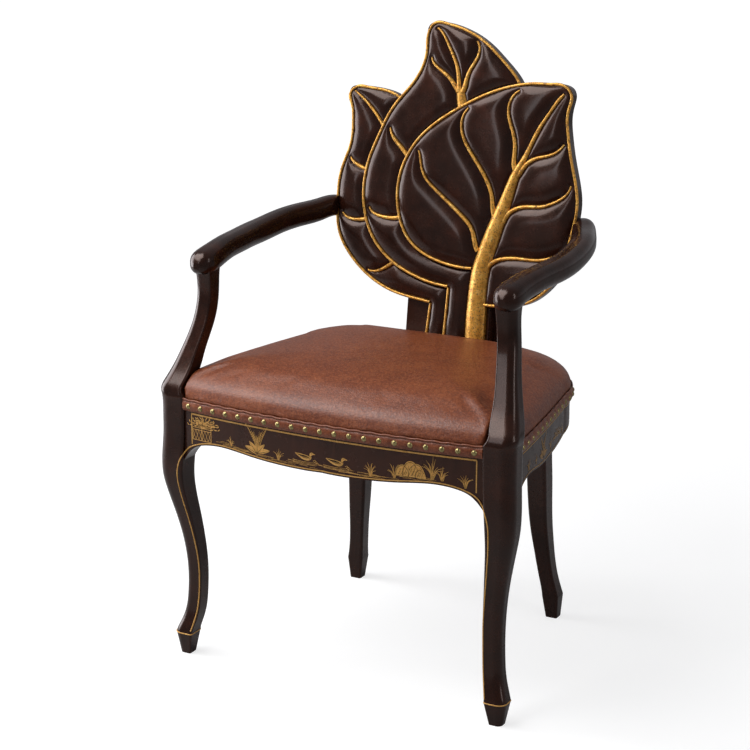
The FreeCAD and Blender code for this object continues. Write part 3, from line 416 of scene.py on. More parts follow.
def spaced(points, step):
    """The same outline with evenly spaced points."""
    points = np.array(points)
    lengths = np.hypot(*np.diff(points, axis=0).T)
    run = np.concatenate(([0.0], np.cumsum(lengths)))
    count = max(3, round(run[-1] / step))
    at = np.linspace(0.0, run[-1], count + 1)
    return np.column_stack([np.interp(at, run, points[:, k]) for k in range(2)])


# Leather seat

PAD_RISE = 0.0595
PAD_SHARES = ((0.0, 1.0), (0.10, 1.002), (0.22, 0.997), (0.36, 0.975), (0.50, 0.934), (0.63, 0.873),
              (0.75, 0.790), (0.85, 0.688), (0.925, 0.555), (0.972, 0.390), (0.993, 0.195), (1.0, 0.02))
PAD_STEP = 0.006
PAD_ROW_STEPS = 5
TUCK_DEPTH = 0.004
TUCK_SHARE = 0.998
POST_SHADOW = ((0.415, 0.2580, -0.1870), (0.440, 0.2580, -0.1870), (0.462, 0.2630, -0.1830),
               (0.482, 0.2602, -0.1720), (0.500, 0.2590, -0.1652), (0.540, 0.2530, -0.1500))
PAD_REACH = 0.06
VOXEL = 0.0042
CUT_EASING = 6
NAILED_HEIGHT = 0.006
SWELL_PRESSURE = 4.0
SWELL_FRAMES = 20
SWELL_CAP = 0.003
SWELL_EASING = 8


def seat_form():
    """Closed crowned form of the seat before it is stuffed."""
    outline = spaced(seat_plan(LEATHER_OUT), PAD_STEP)[:-1]
    count = len(outline)
    rows = smooth_path([(RAIL_TOP + PAD_RISE * rise, share) for rise, share in PAD_SHARES], PAD_ROW_STEPS)
    rows = [(BAND_TOP - TUCK_DEPTH, TUCK_SHARE)] + rows
    vertices = []
    for height, share in rows:
        for x, y in outline:
            vertices.append((x * share, PAD_CENTRE_Y + (y - PAD_CENTRE_Y) * share, height))
    faces = ring_faces(len(rows), count)
    faces.append(tuple(reversed(range(count))))
    faces.append(tuple(range((len(rows) - 1) * count, len(rows) * count)))
    return vertices, faces


def post_space(side):
    """Closed form of the space that a front post takes from the seat's corner."""
    out = FRAME_FRONT_HALF_WIDTH + PAD_REACH
    ahead = -FRAME_FRONT - PAD_REACH
    vertices = []
    for height, inner, behind in POST_SHADOW:
        vertices += [(side * inner, ahead, height), (side * inner, behind, height),
                     (side * out, behind, height), (side * out, ahead, height)]
    faces = [(3, 2, 1, 0)] + ring_faces(len(POST_SHADOW), 4)
    top = 4 * (len(POST_SHADOW) - 1)
    faces.append((top, top + 1, top + 2, top + 3))
    if side > 0:
        faces = [tuple(reversed(face)) for face in faces]
    return vertices, faces


def scratch(name, vertices, faces):
    """Working object that isn't part of the chair."""
    mesh = bpy.data.meshes.new(name)
    mesh.from_pydata(vertices, [], faces)
    obj = bpy.data.objects.new(name, mesh)
    bpy.context.scene.collection.objects.link(obj)
    return obj


def settle(obj):
    """Applies the object's modifiers to its mesh."""
    graph = bpy.context.evaluated_depsgraph_get()
    graph.update()
    mesh = bpy.data.meshes.new_from_object(obj.evaluated_get(graph))
    obj.modifiers.clear()
    old = obj.data
    obj.data = mesh
    bpy.data.meshes.remove(old)


def ease(obj, passes):
    """Adds a smoothing of the object's mesh."""
    smooth = obj.modifiers.new("ease", "SMOOTH")
    smooth.factor = 0.5
    smooth.iterations = passes


def discard(obj):
    """Removes a working object with its mesh."""
    mesh = obj.data
    bpy.data.objects.remove(obj)
    bpy.data.meshes.remove(mesh)


def leather_seat():
    """Seat cover: notched round the posts, remeshed, stuffed by a short cloth simulation and smoothed."""
    body = scratch("seat_stuffing", *seat_form())
    for side in (-1, 1):
        tool = scratch("post_space", *post_space(side))
        cut = body.modifiers.new("cut", "BOOLEAN")
        cut.operation = "DIFFERENCE"
        cut.solver = "EXACT"
        cut.object = tool
        settle(body)
        discard(tool)
    remesh = body.modifiers.new("remesh", "REMESH")
    remesh.mode = "VOXEL"
    remesh.voxel_size = VOXEL
    ease(body, CUT_EASING)
    settle(body)
    swell(body)
    mesh = body.data
    vertices = [v.co.copy() for v in mesh.vertices]
    faces = [tuple(p.vertices) for p in mesh.polygons]
    discard(body)
    seat = piece("leather_seat", vertices, faces, LEATHER)
    finer = seat.modifiers.new("finer", "SUBSURF")
    finer.levels = 1
    finer.render_levels = 1
    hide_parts("seat_cover", "seat_padding")


def swell(body):
    """Short cloth simulation with air pressure inside, each point kept near where it began."""
    before = np.array([v.co for v in body.data.vertices])
    held = body.vertex_groups.new(name="nailed")
    nailed = [v.index for v in body.data.vertices if v.co.z < BAND_TOP + NAILED_HEIGHT]
    held.add(nailed, 1.0, "REPLACE")
    cloth = body.modifiers.new("stuffing", "CLOTH")
    cloth.settings.quality = 5
    cloth.settings.use_pressure = True
    cloth.settings.uniform_pressure_force = SWELL_PRESSURE
    cloth.settings.vertex_group_mass = "nailed"
    cloth.settings.effector_weights.gravity = 0.0
    cloth.collision_settings.use_collision = False
    scene = bpy.context.scene
    for number in range(1, SWELL_FRAMES + 1):
        scene.frame_set(number)
    settle(body)
    scene.frame_set(1)
    after = np.array([v.co for v in body.data.vertices])
    move = after - before
    length = np.linalg.norm(move, axis=1, keepdims=True)
    move *= np.minimum(1.0, SWELL_CAP / np.maximum(length, 1e-9))
    for vertex, place in zip(body.data.vertices, before + move):
        vertex.co = place
    ease(body, SWELL_EASING)
    settle(body)


leather_seat()


# Nailed band with its piped upper edge

NAIL_ROWS = ("front_nails", "left_nails", "right_nails", "rear_nails")
NAIL_PLACES = [place for row in NAIL_ROWS for place in islands(row)]
NAIL_REACH = 0.012
BAND_ROWS = ((0.0, 0.0004), (0.06, 0.0017), (0.30, 0.0024), (0.55, 0.0027), (0.80, 0.0022), (0.93, 0.0014),
             (1.0, 0.0002))
BAND_STEP = 0.003
BAND_PUFF = 0.0009
BAND_FRONT_END = 0.2575
BAND_FRONT_BACK = -0.20
BAND_SIDE_START = -0.186
PIPING = 0.0019
PIPING_OUT = 0.0004
PIPING_LAP = 0.0008
PIPING_WAVE = 0.0011
PIPING_FLATNESS = 0.85
PIPING_STEPS = 8


def band_runs():
    """The two runs of the band: along the front between the posts, and round the sides and the rear."""
    outline = spaced(seat_plan(LEATHER_OUT), BAND_STEP)[:-1]
    front = [tuple(p) for p in outline if p[1] < BAND_FRONT_BACK and abs(p[0]) < BAND_FRONT_END]
    around = [tuple(p) for p in outline if p[1] > BAND_SIDE_START]
    return sorted(front), around


def nail_puff(x, y):
    """1 half way between two nails, 0 at a nail."""
    nearest = min(math.hypot(x - place.x, y - place.y) for place in NAIL_PLACES)
    return 0.5 - 0.5 * math.cos(math.pi * min(1.0, nearest / NAIL_REACH))


def run_normals(run):
    """Outward direction in plan at each point of a run."""
    points = np.array(run)
    along = np.gradient(points, axis=0)
    along /= np.linalg.norm(along, axis=1, keepdims=True)
    return np.column_stack((along[:, 1], -along[:, 0]))


def nailed_band():
    """Leather strip, puffed between the nails, with a rounded piping along its top."""
    vertices = []
    faces = []
    width = len(BAND_ROWS) + PIPING_STEPS + 1
    for run in band_runs():
        normals = run_normals(run)
        start = len(vertices)
        for (x, y), (nx, ny) in zip(run, normals):
            puff = nail_puff(x, y)
            top = BAND_TOP - PIPING_LAP + PIPING_WAVE * (puff - 0.5)
            for rise, out in BAND_ROWS:
                reach = out + BAND_PUFF * puff * math.sin(math.pi * rise)
                vertices.append((x + nx * reach, y + ny * reach, BAND_LOW + (top - BAND_LOW) * rise))
            for k in range(PIPING_STEPS + 1):
                angle = -0.5 * math.pi + math.pi * k / PIPING_STEPS
                reach = PIPING_OUT + PIPING * math.cos(angle)
                rise = PIPING * (1.0 + math.sin(angle)) * PIPING_FLATNESS
                vertices.append((x + nx * reach, y + ny * reach, top + rise))
        for k in range(len(run) - 1):
            for row in range(width - 1):
                a = start + k * width + row
                faces.append((a, a + width, a + width + 1, a + 1))
    band = piece("leather_band", vertices, faces, LEATHER)
    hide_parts("nail_band")


nailed_band()


# Carved lobes of the leaves

CARVING_STEP = 0.0022
CARVING_SHOULDER = 0.019
CARVING_HEIGHT = 0.0056
CARVING_EDGE = 0.0042
CARVING_EDGE_HEIGHT = 0.0022
CARVING_LIFT = 0.0003
CARVING_SKIP = 0.0010
CARVING_PASSES = 16
CARVING_FOOT = 0.02
PROBE_OUT = 0.003
PROBE_REACH = 0.004
PROBE_SLACK = 0.0004
TRIM_REACH = 0.05


def back_place(across, up, out):
    """Point given on the back's reclined plane."""
    return BACK_ORIGIN + BACK_RIGHT * across + BACK_UP * up + BACK_OUT * out


def carved_leaf(name, leaf, layer, trims):
    """Swelling lobes on a leaf's face, low beside every rim and vein."""
    low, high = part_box(leaf)
    face_tree = tree_of(leaf)
    trim_tree = tree_of(*trims)
    out = -layer * LAYER_STEP
    columns = int((high[0] - low[0]) / CARVING_STEP)
    foot = (RAIL_TOP + CARVING_FOOT - BACK_ORIGIN.z) / BACK_UP.z
    rows = int(((high[2] - BACK_ORIGIN.z) / BACK_UP.z - foot) / CARVING_STEP)
    places = {}
    reaches = np.full((rows + 3, columns + 3), -1.0)
    for row in range(rows + 1):
        for column in range(columns + 1):
            across = low[0] + column * CARVING_STEP
            up = foot + row * CARVING_STEP
            start = back_place(across, up, out + PROBE_OUT)
            place, _, _, distance = face_tree.ray_cast(start, -BACK_OUT, PROBE_REACH)
            if place is None or abs(distance - PROBE_OUT) > PROBE_SLACK:
                continue
            reach = trim_tree.find_nearest(place, TRIM_REACH)[3]
            places[row, column] = place
            reaches[row + 1, column + 1] = TRIM_REACH if reach is None else max(0.0, reach - CARVING_SKIP)
    inside = reaches > 0.0
    swell_share = np.clip(reaches / CARVING_SHOULDER, 0.0, 1.0)
    heights = CARVING_HEIGHT * (1.0 - (1.0 - swell_share) ** 2)
    for _ in range(CARVING_PASSES):
        total = np.zeros_like(heights)
        for axis, shift in ((0, 1), (0, -1), (1, 1), (1, -1)):
            total += np.roll(heights, shift, axis)
        heights = np.where(inside, 0.25 * total, 0.0)
    edge_share = np.clip(reaches / CARVING_EDGE, 0.0, 1.0)
    heights += CARVING_EDGE_HEIGHT * np.sqrt(1.0 - (1.0 - edge_share) ** 2)
    index = {}
    vertices = []
    for (row, column), place in places.items():
        index[row, column] = len(vertices)
        vertices.append(place + BACK_OUT * (CARVING_LIFT + heights[row + 1, column + 1]))
    faces = []
    for row, column in list(index):
        corners = [(row, column), (row, column + 1), (row + 1, column + 1), (row + 1, column)]
        if all(corner in index for corner in corners):
            faces.append(tuple(index[corner] for corner in corners))
    piece(name, vertices, faces, LACQUER)


carved_leaf("front_leaf_carving", "front_leaf", 0, ("front_leaf_rim", "front_leaf_veins", "gilded_trunk"))
carved_leaf("middle_leaf_carving", "middle_leaf", 1, ("middle_leaf_rim", "middle_leaf_veins", "front_leaf",
                                                      "gilded_trunk"))
carved_leaf("rear_leaf_carving", "rear_leaf", 2, ("rear_leaf_rim", "rear_leaf_veins", "middle_leaf",
                                                  "front_leaf", "middle_leaf_rim"))


# Painted gold lines and the picture on the apron

class Paint:
    """Collects flat strokes drawn on a surface of the chair."""

    def __init__(self, place):
        self.place = place
        self.vertices = []
        self.faces = []

    def stroke(self, points, width, tip=None, steps=6):
        """Line along a smooth curve, drawn out from width to tip."""
        path = smooth_path(points, steps)
        tip = width if tip is None else tip
        along = np.gradient(np.array(path), axis=0)
        start = len(self.vertices)
        last = len(path) - 1
        for k, (point, (dx, dz)) in enumerate(zip(path, along)):
            length = math.hypot(dx, dz) or 1.0
            half = (width + (tip - width) * k / last) / 2
            side = np.array((-dz / length * half, dx / length * half))
            self.vertices += [self.place(*(point + side)), self.place(*(point - side))]
        for k in range(last):
            a = start + 2 * k
            self.faces.append((a, a + 1, a + 3, a + 2))

    def shape(self, points, steps=5):
        """Filled shape inside a smooth closed outline."""
        closed = [points[-1]] + list(points) + [points[0], points[1]]
        path = smooth_path(closed, steps)[steps:-2 * steps]
        start = len(self.vertices)
        self.vertices += [self.place(*point) for point in path]
        self.faces.append(tuple(range(start, start + len(path))))

    def blade(self, base, tip, width, bend=0.0):
        """Pointed leaf from base to tip."""
        base = np.array(base)
        tip = np.array(tip)
        run = tip - base
        side = np.array((-run[1], run[0])) / np.linalg.norm(run)
        middle = base + run * 0.45 + side * bend
        self.shape([base, middle + side * width / 2, tip, middle - side * width / 2], 5)

    def build(self, name, material):
        """Piece made of all the strokes."""
        piece(name, self.vertices, self.faces, material, smooth=False)


FRONT_TREE = tree_of("front_rail")
PAINT_LIFT = 0.0003
INK_LIFT = 0.0006
BELOW_RAILS = 0.30
EDGE_DEPTH = 0.004


def on_front(x, z, lift=PAINT_LIFT):
    """Point on the apron's bowed front."""
    radius = (FRAME_FRONT_HALF_WIDTH ** 2 + FRAME_FRONT_BOW ** 2) / (2 * FRAME_FRONT_BOW)
    return (x, -FRAME_FRONT + radius - math.sqrt(radius ** 2 - x * x) - lift, z)


def ink_on_front(x, z):
    """Point on the apron's front, just over the gold paint."""
    return on_front(x, z, INK_LIFT)


def apron_edge(x):
    """Height of the apron's wavy lower edge."""
    start = Vector((x, on_front(x, 0)[1] + EDGE_DEPTH, BELOW_RAILS))
    return FRONT_TREE.ray_cast(start, UP)[0].z


def grass(paint, x, z, size, count, seed):
    """Tuft of blades fanning out from one foot."""
    draw = random.Random(seed)
    for k in range(count):
        lean = -0.9 + 1.8 * k / (count - 1) + draw.uniform(-0.12, 0.12)
        tall = size * (1.0 - 0.35 * abs(lean)) * draw.uniform(0.75, 1.1)
        foot = (x + draw.uniform(-0.08, 0.08) * size, z)
        middle = (x + lean * tall * 0.35, z + tall * 0.6)
        tip = (x + lean * tall * 0.85, z + tall * (1.0 - 0.25 * abs(lean)))
        paint.stroke([foot, middle, tip], 0.0011, 0.0003)


def reed_plant(paint, ink, x, z, size=1.0):
    """Plumed reeds that rise from a rosette of broad leaves."""
    for dx, dz, width in ((-0.020, 0.009, 0.0075), (0.021, 0.008, 0.0075), (-0.013, 0.017, 0.0070),
                          (0.013, 0.016, 0.0070), (0.001, 0.015, 0.0075)):
        tip = (x + dx * size, z + dz * size)
        paint.blade((x, z), tip, width * size, dx * 0.12)
        ink.stroke([(x, z + 0.001), tip], 0.0009, 0.0003, 3)
    for bend, tip_x, tip_z in ((-0.001, -0.019, 0.041), (0.001, -0.007, 0.030), (0.002, 0.007, 0.031),
                               (0.004, 0.018, 0.041), (0.001, 0.001, 0.024)):
        top = (x + tip_x * size, z + tip_z * size)
        middle = (x + (bend + tip_x * 0.25) * size, z + tip_z * 0.55 * size)
        paint.stroke([(x, z), middle, top], 0.0012, 0.0005)
        for k in range(9):
            share = 0.45 + 0.065 * k
            foot = (x + tip_x * size * share ** 1.7, z + tip_z * size * share)
            for side in (-1, 1):
                end = (foot[0] + side * 0.0026 * size, foot[1] + 0.0034 * size)
                paint.stroke([foot, end], 0.0007, 0.0002, 3)


def waterbird(paint, ink, x, z, size):
    """Resting waterbird that looks to the right, with feathered wing and the ripples round it."""
    def at(dx, dz):
        return (x + dx * size, z + dz * size)

    paint.shape([at(-0.50, 0.27), at(-0.34, 0.14), at(-0.14, 0.04), at(0.10, 0.01), at(0.25, 0.09),
                 at(0.27, 0.19), at(0.10, 0.22), at(-0.10, 0.25), at(-0.30, 0.27)])
    paint.shape([at(0.18, 0.10), at(0.27, 0.12), at(0.28, 0.24), at(0.36, 0.30), at(0.34, 0.37),
                 at(0.25, 0.37), at(0.19, 0.29)])
    paint.blade(at(0.33, 0.33), at(0.46, 0.31), 0.05 * size)
    for k in range(5):
        ink.stroke([at(-0.42 + 0.07 * k, 0.245 - 0.008 * k), at(-0.22 + 0.07 * k, 0.170),
                    at(-0.02 + 0.05 * k, 0.105)], 0.0008, 0.0003)
    ink.stroke([at(-0.30, 0.215), at(-0.05, 0.21), at(0.16, 0.15), at(0.20, 0.08)], 0.0009, 0.0004)
    ink.stroke([at(0.17, 0.22), at(0.24, 0.20), at(0.28, 0.21)], 0.0008, 0.0003)
    ink.stroke([at(0.275, 0.335), at(0.295, 0.335)], 0.0012, 0.0012, 2)
    for k, (reach, drop) in enumerate(((0.62, -0.03), (0.85, -0.08), (0.60, -0.13))):
        paint.stroke([at(-reach, drop), at(-0.1, drop - 0.03), at(reach * 0.9, drop)], 0.0008, 0.0003)
        paint.stroke([at(0.36 + 0.06 * k, 0.03 - 0.05 * k), at(0.44 + 0.06 * k, 0.07 - 0.05 * k),
                      at(0.52 + 0.06 * k, 0.02 - 0.05 * k)], 0.0009, 0.0004)


def rocks(paint, ink, x, z):
    """Rounded rocks that overlap, each with its lit rim and inner lines."""
    for dx, width, tall in ((-0.012, 0.022, 0.017), (0.001, 0.026, 0.024), (0.010, 0.026, 0.021),
                            (0.016, 0.016, 0.013)):
        def at(share, rise):
            return (x + dx + width * share, z + tall * rise)

        paint.shape([at(-0.5, 0.0), at(-0.46, 0.50), at(-0.20, 0.95), at(0.16, 0.97), at(0.42, 0.60),
                     at(0.5, 0.0)])
        ink.stroke([at(-0.48, 0.02), at(-0.42, 0.52), at(-0.16, 0.88), at(0.14, 0.90), at(0.36, 0.62)],
                   0.0008, 0.0005)
        for k in range(3):
            ink.stroke([at(-0.30 + 0.2 * k, 0.10), at(-0.16 + 0.2 * k, 0.45), at(-0.10 + 0.2 * k, 0.70)],
                       0.0005, 0.0003)


def garden_fence(paint, x, z, width, tall):
    """Lattice fence with its top rail."""
    for share in (0.0, 0.82, 1.0):
        paint.stroke([(x, z + tall * share), (x + width, z + tall * share)], 0.0009, 0.0009, 2)
    for share in (0.0, 0.5, 1.0):
        paint.stroke([(x + width * share, z), (x + width * share, z + tall)], 0.0009, 0.0009, 2)
    for k in range(6):
        left = x + width * k / 6
        paint.stroke([(left, z), (left + width / 6, z + tall * 0.82)], 0.0006, 0.0006, 2)
        paint.stroke([(left + width / 6, z), (left, z + tall * 0.82)], 0.0006, 0.0006, 2)


def bush(paint, x, z, reach, seed):
    """Bush of short pointed leaves on crossing twigs."""
    draw = random.Random(seed)
    for k in range(9):
        angle = math.pi * (0.02 + 0.12 * k)
        tip = (x + reach * math.cos(angle), z + 0.5 * reach * math.sin(angle))
        paint.stroke([(x, z), ((x + tip[0]) / 2, (z + tip[1]) / 2 + 0.002), tip], 0.0008, 0.0004)
        for share in (0.45, 0.7, 0.95):
            foot = (x + (tip[0] - x) * share, z + (tip[1] - z) * share)
            turn = angle + draw.uniform(-1.0, 1.0)
            paint.blade(foot, (foot[0] + 0.006 * math.cos(turn), foot[1] + 0.004 * math.sin(turn)), 0.0018)


APRON_LEFT = -0.2425
APRON_RIGHT = 0.2475
APRON_TOP = 0.4160
APRON_BORDER = 0.0032
SWEEP_START = 0.2335


def apron_picture():
    """Garden by the water, between a fence on the left and rocks on the right."""
    paint = Paint(on_front)
    ink = Paint(ink_on_front)
    lower = [(x, apron_edge(x) + APRON_BORDER) for x in np.linspace(-SWEEP_START, SWEEP_START, 90)]
    paint.stroke([(x, APRON_TOP) for x in np.linspace(APRON_LEFT, APRON_RIGHT, 60)], 0.0024, steps=1)
    paint.stroke(lower, 0.0017, steps=1)
    for x in (APRON_LEFT, APRON_RIGHT):
        paint.stroke([(x, lower[0][1]), (x, APRON_TOP)], 0.0017, steps=2)
    garden_fence(paint, APRON_LEFT + 0.002, 0.3755, 0.037, 0.020)
    bush(paint, -0.219, 0.396, 0.031, 11)
    bush(paint, -0.214, 0.401, 0.022, 12)
    for x, size, count, seed in ((-0.164, 0.016, 7, 1), (-0.075, 0.020, 7, 2), (0.083, 0.023, 9, 3),
                                 (0.121, 0.026, 9, 4), (0.181, 0.034, 12, 5), (0.196, 0.022, 8, 8),
                                 (0.231, 0.024, 9, 6)):
        grass(paint, x, apron_edge(x) + 0.0070, size, count, seed)
    reed_plant(paint, ink, -0.115, apron_edge(-0.115) + 0.0075, 1.12)
    waterbird(paint, ink, -0.027, 0.3780, 0.037)
    waterbird(paint, ink, 0.027, 0.3775, 0.038)
    rocks(paint, ink, 0.146, apron_edge(0.146) + 0.0095)
    draw = random.Random(7)
    for k in range(46):
        x = draw.uniform(-0.195, 0.225)
        z = apron_edge(x) + draw.uniform(0.0055, 0.0105)
        reach = draw.uniform(0.006, 0.018)
        paint.stroke([(x - reach, z), (x, z + 0.0004), (x + reach, z - 0.0003)], 0.0005, 0.0003, 3)
    paint.build("apron_picture", GOLD_PAINT)
    ink.build("apron_picture_ink", LACQUER)


apron_picture()


SIDE_TREES = {-1: tree_of("side_rail_left"), 1: tree_of("side_rail_right")}
SIDE_MIDDLE = 0.41


def on_side(side, lift=PAINT_LIFT):
    """Places a point of a side rail's outer face, given by its depth and height."""
    def place(y, z):
        start = Vector((side * 0.5, y, z))
        hit = SIDE_TREES[side].ray_cast(start, Vector((-side, 0, 0)))[0]
        return (hit.x + side * lift, hit.y, hit.z)
    return place


def side_edge(side, y):
    """Height of a side rail's lower edge."""
    x = on_side(side)(y, SIDE_MIDDLE)[0] - side * EDGE_DEPTH
    return SIDE_TREES[side].ray_cast(Vector((x, y, BELOW_RAILS)), UP)[0].z


def side_picture(side, name):
    """Border and a few plants on a side rail."""
    paint = Paint(on_side(side))
    ink = Paint(on_side(side, INK_LIFT))
    ys = np.linspace(-0.180, 0.150, 60)
    lower = [(y, side_edge(side, y) + 0.0035) for y in ys]
    paint.stroke([(y, 0.4150) for y in ys], 0.0018, steps=1)
    paint.stroke(lower, 0.0014, steps=1)
    for y, size, count, seed in ((-0.135, 0.022, 9, 21), (-0.095, 0.016, 7, 22), (-0.010, 0.024, 10, 23),
                                 (0.065, 0.018, 8, 24), (0.120, 0.020, 8, 25)):
        grass(paint, y, side_edge(side, y) + 0.008, size, count, seed)
    reed_plant(paint, ink, -0.055, side_edge(side, -0.055) + 0.008)
    bush(paint, 0.030, side_edge(side, 0.030) + 0.016, 0.024, 26)
    paint.build(name, DIM_GOLD)
    ink.build(f"{name}_ink", DULL_LACQUER)


side_picture(-1, "left_rail_picture")
side_picture(1, "right_rail_picture")


# Gold lines down the front legs

LINE_RADIUS = 0.0010
ANKLE = (0.264, -0.193)
KNEE_SWEEP = 0.028
SWEEP_SHARES = ((0.0, 0.69), (0.036, 0.69), (0.053, 0.46), (0.075, 0.18), (0.101, 0.05), (0.132, 0.0),
                (0.163, 0.04), (0.200, 0.21), (0.240, 0.50), (0.279, 0.84), (0.308, 1.0), (0.343, 0.96),
                (0.378, 0.84), (0.44, 0.83))
FOOT_HEIGHT = 0.036
LEDGE_LINE = 0.0366
LEDGE_STEPS = 48
LEG_LINE_TOP = 0.326
LEG_LINE_FOOT = 0.042
LEG_LINE_STEPS = 36
LEG_LINE_INSETS = ((0.04, 0.0022), (0.16, 0.0016), (0.22, 0.0040), (LEG_LINE_TOP, 0.0085))
APRON_SWEEP = ((0.2655, 0.334), (0.2630, 0.345), (0.2575, 0.3555), (0.2480, 0.3625), (0.2400, 0.3655))
EASING_PASSES = 60


def tube(points, radius, closed=False, sides=6):
    """Vertices and faces of a round line through the points."""
    count = len(points)
    vertices = []
    for k, point in enumerate(points):
        ahead = points[(k + 1) % count] if closed else points[min(k + 1, count - 1)]
        behind = points[k - 1] if closed else points[max(k - 1, 0)]
        along = (ahead - behind).normalized()
        first = along.orthogonal() if k == 0 else (first - along * first.dot(along))
        first.normalize()
        second = along.cross(first)
        for side in range(sides):
            angle = 2 * math.pi * side / sides
            vertices.append(point + (first * math.cos(angle) + second * math.sin(angle)) * radius)
    return vertices, ring_faces(count, sides, closed)


def leg_axis(side, z):
    """Middle of a front leg at a height."""
    heights, sweeps = zip(*SWEEP_SHARES)
    sweep = KNEE_SWEEP * np.interp(z, heights, sweeps) / math.sqrt(2)
    return side * (ANKLE[0] + sweep), ANKLE[1] - sweep


def eased(values):
    """A run of values with its bends rounded and its ends kept."""
    values = np.array(values)
    for _ in range(EASING_PASSES):
        values[1:-1] = (values[:-2] + 2 * values[1:-1] + values[2:]) / 4
    return values


def leg_line(side, name):
    """Line from the apron's lower border down the leg's inner front edge, and round the foot's ledge."""
    leg = tree_of(f"front_leg_{name}")
    front = tree_of(f"front_leg_{name}", "front_rail")
    path = [(side * SWEEP_START, apron_edge(side * SWEEP_START) + APRON_BORDER)]
    path += [(side * x, z) for x, z in reversed(APRON_SWEEP)]
    for z in np.linspace(LEG_LINE_TOP, LEG_LINE_FOOT, LEG_LINE_STEPS):
        y = leg_axis(side, z)[1]
        inner = leg.ray_cast(Vector((0.0, y, z)), Vector((side, 0, 0)))[0]
        inset = np.interp(z, *zip(*LEG_LINE_INSETS))
        path.append((inner.x + side * inset, z))
    hits = [front.ray_cast(Vector((x, -0.4, z)), -FORWARD)[0] for x, z in eased(smooth_path(path, 4))]
    hits = [hit for hit in hits if hit is not None]
    depths = eased([hit.y for hit in hits])
    points = [Vector((hit.x, min(hit.y, depth), hit.z)) for hit, depth in zip(hits, depths)]
    vertices, faces = tube(points, LINE_RADIUS)
    x, y = leg_axis(side, FOOT_HEIGHT)
    ring = []
    for k in range(LEDGE_STEPS):
        angle = 2 * math.pi * k / LEDGE_STEPS
        out = Vector((math.cos(angle), math.sin(angle), 0.0))
        ring.append(leg.ray_cast(Vector((x, y, LEDGE_LINE)) + out * 0.1, -out)[0])
    more, loop = tube(ring, LINE_RADIUS, closed=True)
    start = len(vertices)
    faces += [tuple(start + i for i in face) for face in loop]
    piece(f"gold_line_{name}_leg", vertices + more, faces, GOLD_PAINT)


leg_line(-1, "left")
leg_line(1, "right")


# Stage, light and camera

MIRRORED_GAIN = 0.08
FLOOR_REACH = 40.0


def seen_share(tree):
    """1 for what the camera sees, a share of it for what the lacquer mirrors."""
    seen = tree.nodes.new("ShaderNodeLightPath")
    rays = seen.outputs["Is Camera Ray"]
    for kind, share in (("Is Glossy Ray", MIRRORED_GAIN), ("Is Transmission Ray", 1.0)):
        either = tree.nodes.new("ShaderNodeMath")
        either.operation = "MULTIPLY_ADD"
        tree.links.new(seen.outputs[kind], either.inputs[0])
        either.inputs[1].default_value = share
        tree.links.new(rays, either.inputs[2])
        rays = either.outputs["Value"]
    return rays


def paper_gain(tree):
    """The paper's own brightness, higher away from the chair where the lamps don't reach."""
    coordinates = tree.nodes.new("ShaderNodeTexCoord")
    away = tree.nodes.new("ShaderNodeVectorMath")
    away.operation = "LENGTH"
    tree.links.new(coordinates.outputs["Object"], away.inputs[0])
    gain = tree.nodes.new("ShaderNodeMapRange")
    for key, value in (("From Min", 0.8), ("From Max", 4.5), ("To Min", 0.73), ("To Max", 0.98)):
        gain.inputs[key].default_value = value
    tree.links.new(away.outputs["Value"], gain.inputs["Value"])
    return gain.outputs["Result"]


def floor():
    """Pale paper under the chair, out to the horizon."""
    mesh = bpy.data.meshes.new("floor")
    corners = [(x * FLOOR_REACH, y * FLOOR_REACH, 0) for x, y in ((-1, -1), (1, -1), (1, 1), (-1, 1))]
    mesh.from_pydata(corners, [], [(0, 1, 2, 3)])
    obj = bpy.data.objects.new("floor", mesh)
    bpy.context.scene.collection.objects.link(obj)
    material = bpy.data.materials.new("floor_paper")
    material.use_nodes = True
    tree = material.node_tree
    shader = tree.nodes["Principled BSDF"]
    noise = tree.nodes.new("ShaderNodeTexNoise")
    noise.inputs["Scale"].default_value = 3.0
    ramp = tree.nodes.new("ShaderNodeValToRGB")
    ramp.color_ramp.elements[0].color = (0.39, 0.39, 0.39, 1.0)
    ramp.color_ramp.elements[1].color = (0.41, 0.41, 0.41, 1.0)
    tree.links.new(noise.outputs["Fac"], ramp.inputs["Fac"])
    tree.links.new(ramp.outputs["Color"], shader.inputs["Base Color"])
    shader.inputs["Roughness"].default_value = 0.95
    shader.inputs["Emission Color"].default_value = (1.0, 1.0, 1.0, 1.0)
    gain = tree.nodes.new("ShaderNodeMath")
    gain.operation = "MULTIPLY"
    tree.links.new(paper_gain(tree), gain.inputs[1])
    tree.links.new(seen_share(tree), gain.inputs[0])
    tree.links.new(gain.outputs["Value"], shader.inputs["Emission Strength"])
    mesh.materials.append(material)


def softbox(name, place, aim, size, power, tint=(1.0, 1.0, 1.0)):
    """Wide soft lamp that faces a point."""
    light = bpy.data.lights.new(name, "AREA")
    light.shape = "RECTANGLE"
    light.size, light.size_y = size
    light.energy = power
    light.color = tint
    obj = bpy.data.objects.new(name, light)
    obj.location = place
    obj.rotation_euler = (Vector(aim) - Vector(place)).to_track_quat("-Z", "Y").to_euler()
    bpy.context.scene.collection.objects.link(obj)


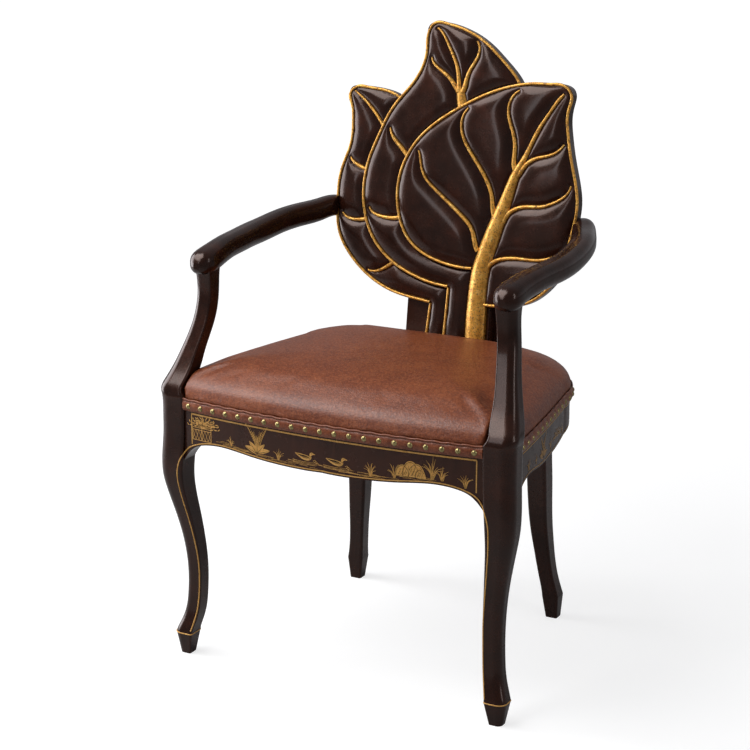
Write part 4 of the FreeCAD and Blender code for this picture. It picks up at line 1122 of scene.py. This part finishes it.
def studio():
    """Softboxes in a dim room that the camera sees as white."""
    world = bpy.data.worlds.new("studio")
    bpy.context.scene.world = world
    world.use_nodes = True
    tree = world.node_tree
    back = tree.nodes["Background"]
    coordinates = tree.nodes.new("ShaderNodeTexCoord")
    split = tree.nodes.new("ShaderNodeSeparateXYZ")
    tree.links.new(coordinates.outputs["Generated"], split.inputs["Vector"])

    def band(source, stops):
        """Grey level by direction."""
        ramp = tree.nodes.new("ShaderNodeValToRGB")
        while len(ramp.color_ramp.elements) < len(stops):
            ramp.color_ramp.elements.new(0.5)
        for element, (place, level) in zip(ramp.color_ramp.elements, stops):
            element.position = place
            element.color = (level, level, level * 1.03, 1.0)
        tree.links.new(source, ramp.inputs["Fac"])
        return ramp.outputs["Color"]

    depth = tree.nodes.new("ShaderNodeMapRange")
    depth.inputs["From Min"].default_value = -1.0
    tree.links.new(split.outputs["Y"], depth.inputs["Value"])
    upward = band(split.outputs["Z"], ((0.0, 0.50), (0.20, 0.38), (0.45, 0.22), (1.0, 0.45)))
    backward = band(depth.outputs["Result"], ((0.0, 0.35), (0.40, 0.45), (0.70, 0.65), (1.0, 0.70)))
    shade = tree.nodes.new("ShaderNodeMix")
    shade.data_type = "RGBA"
    shade.blend_type = "MULTIPLY"
    shade.inputs[0].default_value = 1.0
    tree.links.new(upward, shade.inputs[6])
    tree.links.new(backward, shade.inputs[7])
    paper = tree.nodes.new("ShaderNodeMix")
    paper.data_type = "RGBA"
    tree.links.new(seen_share(tree), paper.inputs[0])
    tree.links.new(shade.outputs[2], paper.inputs[6])
    paper.inputs[7].default_value = (1.0, 1.0, 1.0, 1.0)
    tree.links.new(paper.outputs[2], back.inputs["Color"])
    softbox("overhead_softbox", (-1.06, -0.90, 2.45), (0.0, -0.05, 0.55), (1.8, 1.5), 50.0)
    softbox("left_softbox", (-2.2, -0.35, 1.00), (0.0, 0.0, 0.55), (1.2, 1.95), 42.0, (0.95, 0.96, 1.0))
    softbox("front_softbox", (-0.62, -1.90, 1.56), (0.1, 0.0, 0.6), (0.30, 1.2), 4.0, (0.93, 0.95, 1.0))
    softbox("right_softbox", (2.3, -0.5, 1.5), (0.0, 0.0, 0.5), (0.4, 1.6), 8.0, (0.96, 0.97, 1.0))


CAMERA_PLACE = (1.296, -2.475, 1.234)
CAMERA_AZIMUTH = math.radians(28.4)
CAMERA_ELEVATION = math.radians(15.6)
CAMERA_LENS = 87.2
SENSOR_WIDTH = 36.0


def camera():
    """Camera at the photograph's place."""
    data = bpy.data.cameras.new("camera")
    data.lens = CAMERA_LENS
    data.sensor_width = SENSOR_WIDTH
    obj = bpy.data.objects.new("camera", data)
    obj.location = CAMERA_PLACE
    obj.rotation_euler = (math.pi / 2 - CAMERA_ELEVATION, 0.0, CAMERA_AZIMUTH)
    bpy.context.scene.collection.objects.link(obj)
    bpy.context.scene.camera = obj


floor()
studio()
camera()
bpy.context.scene.view_settings.view_transform = "Standard"
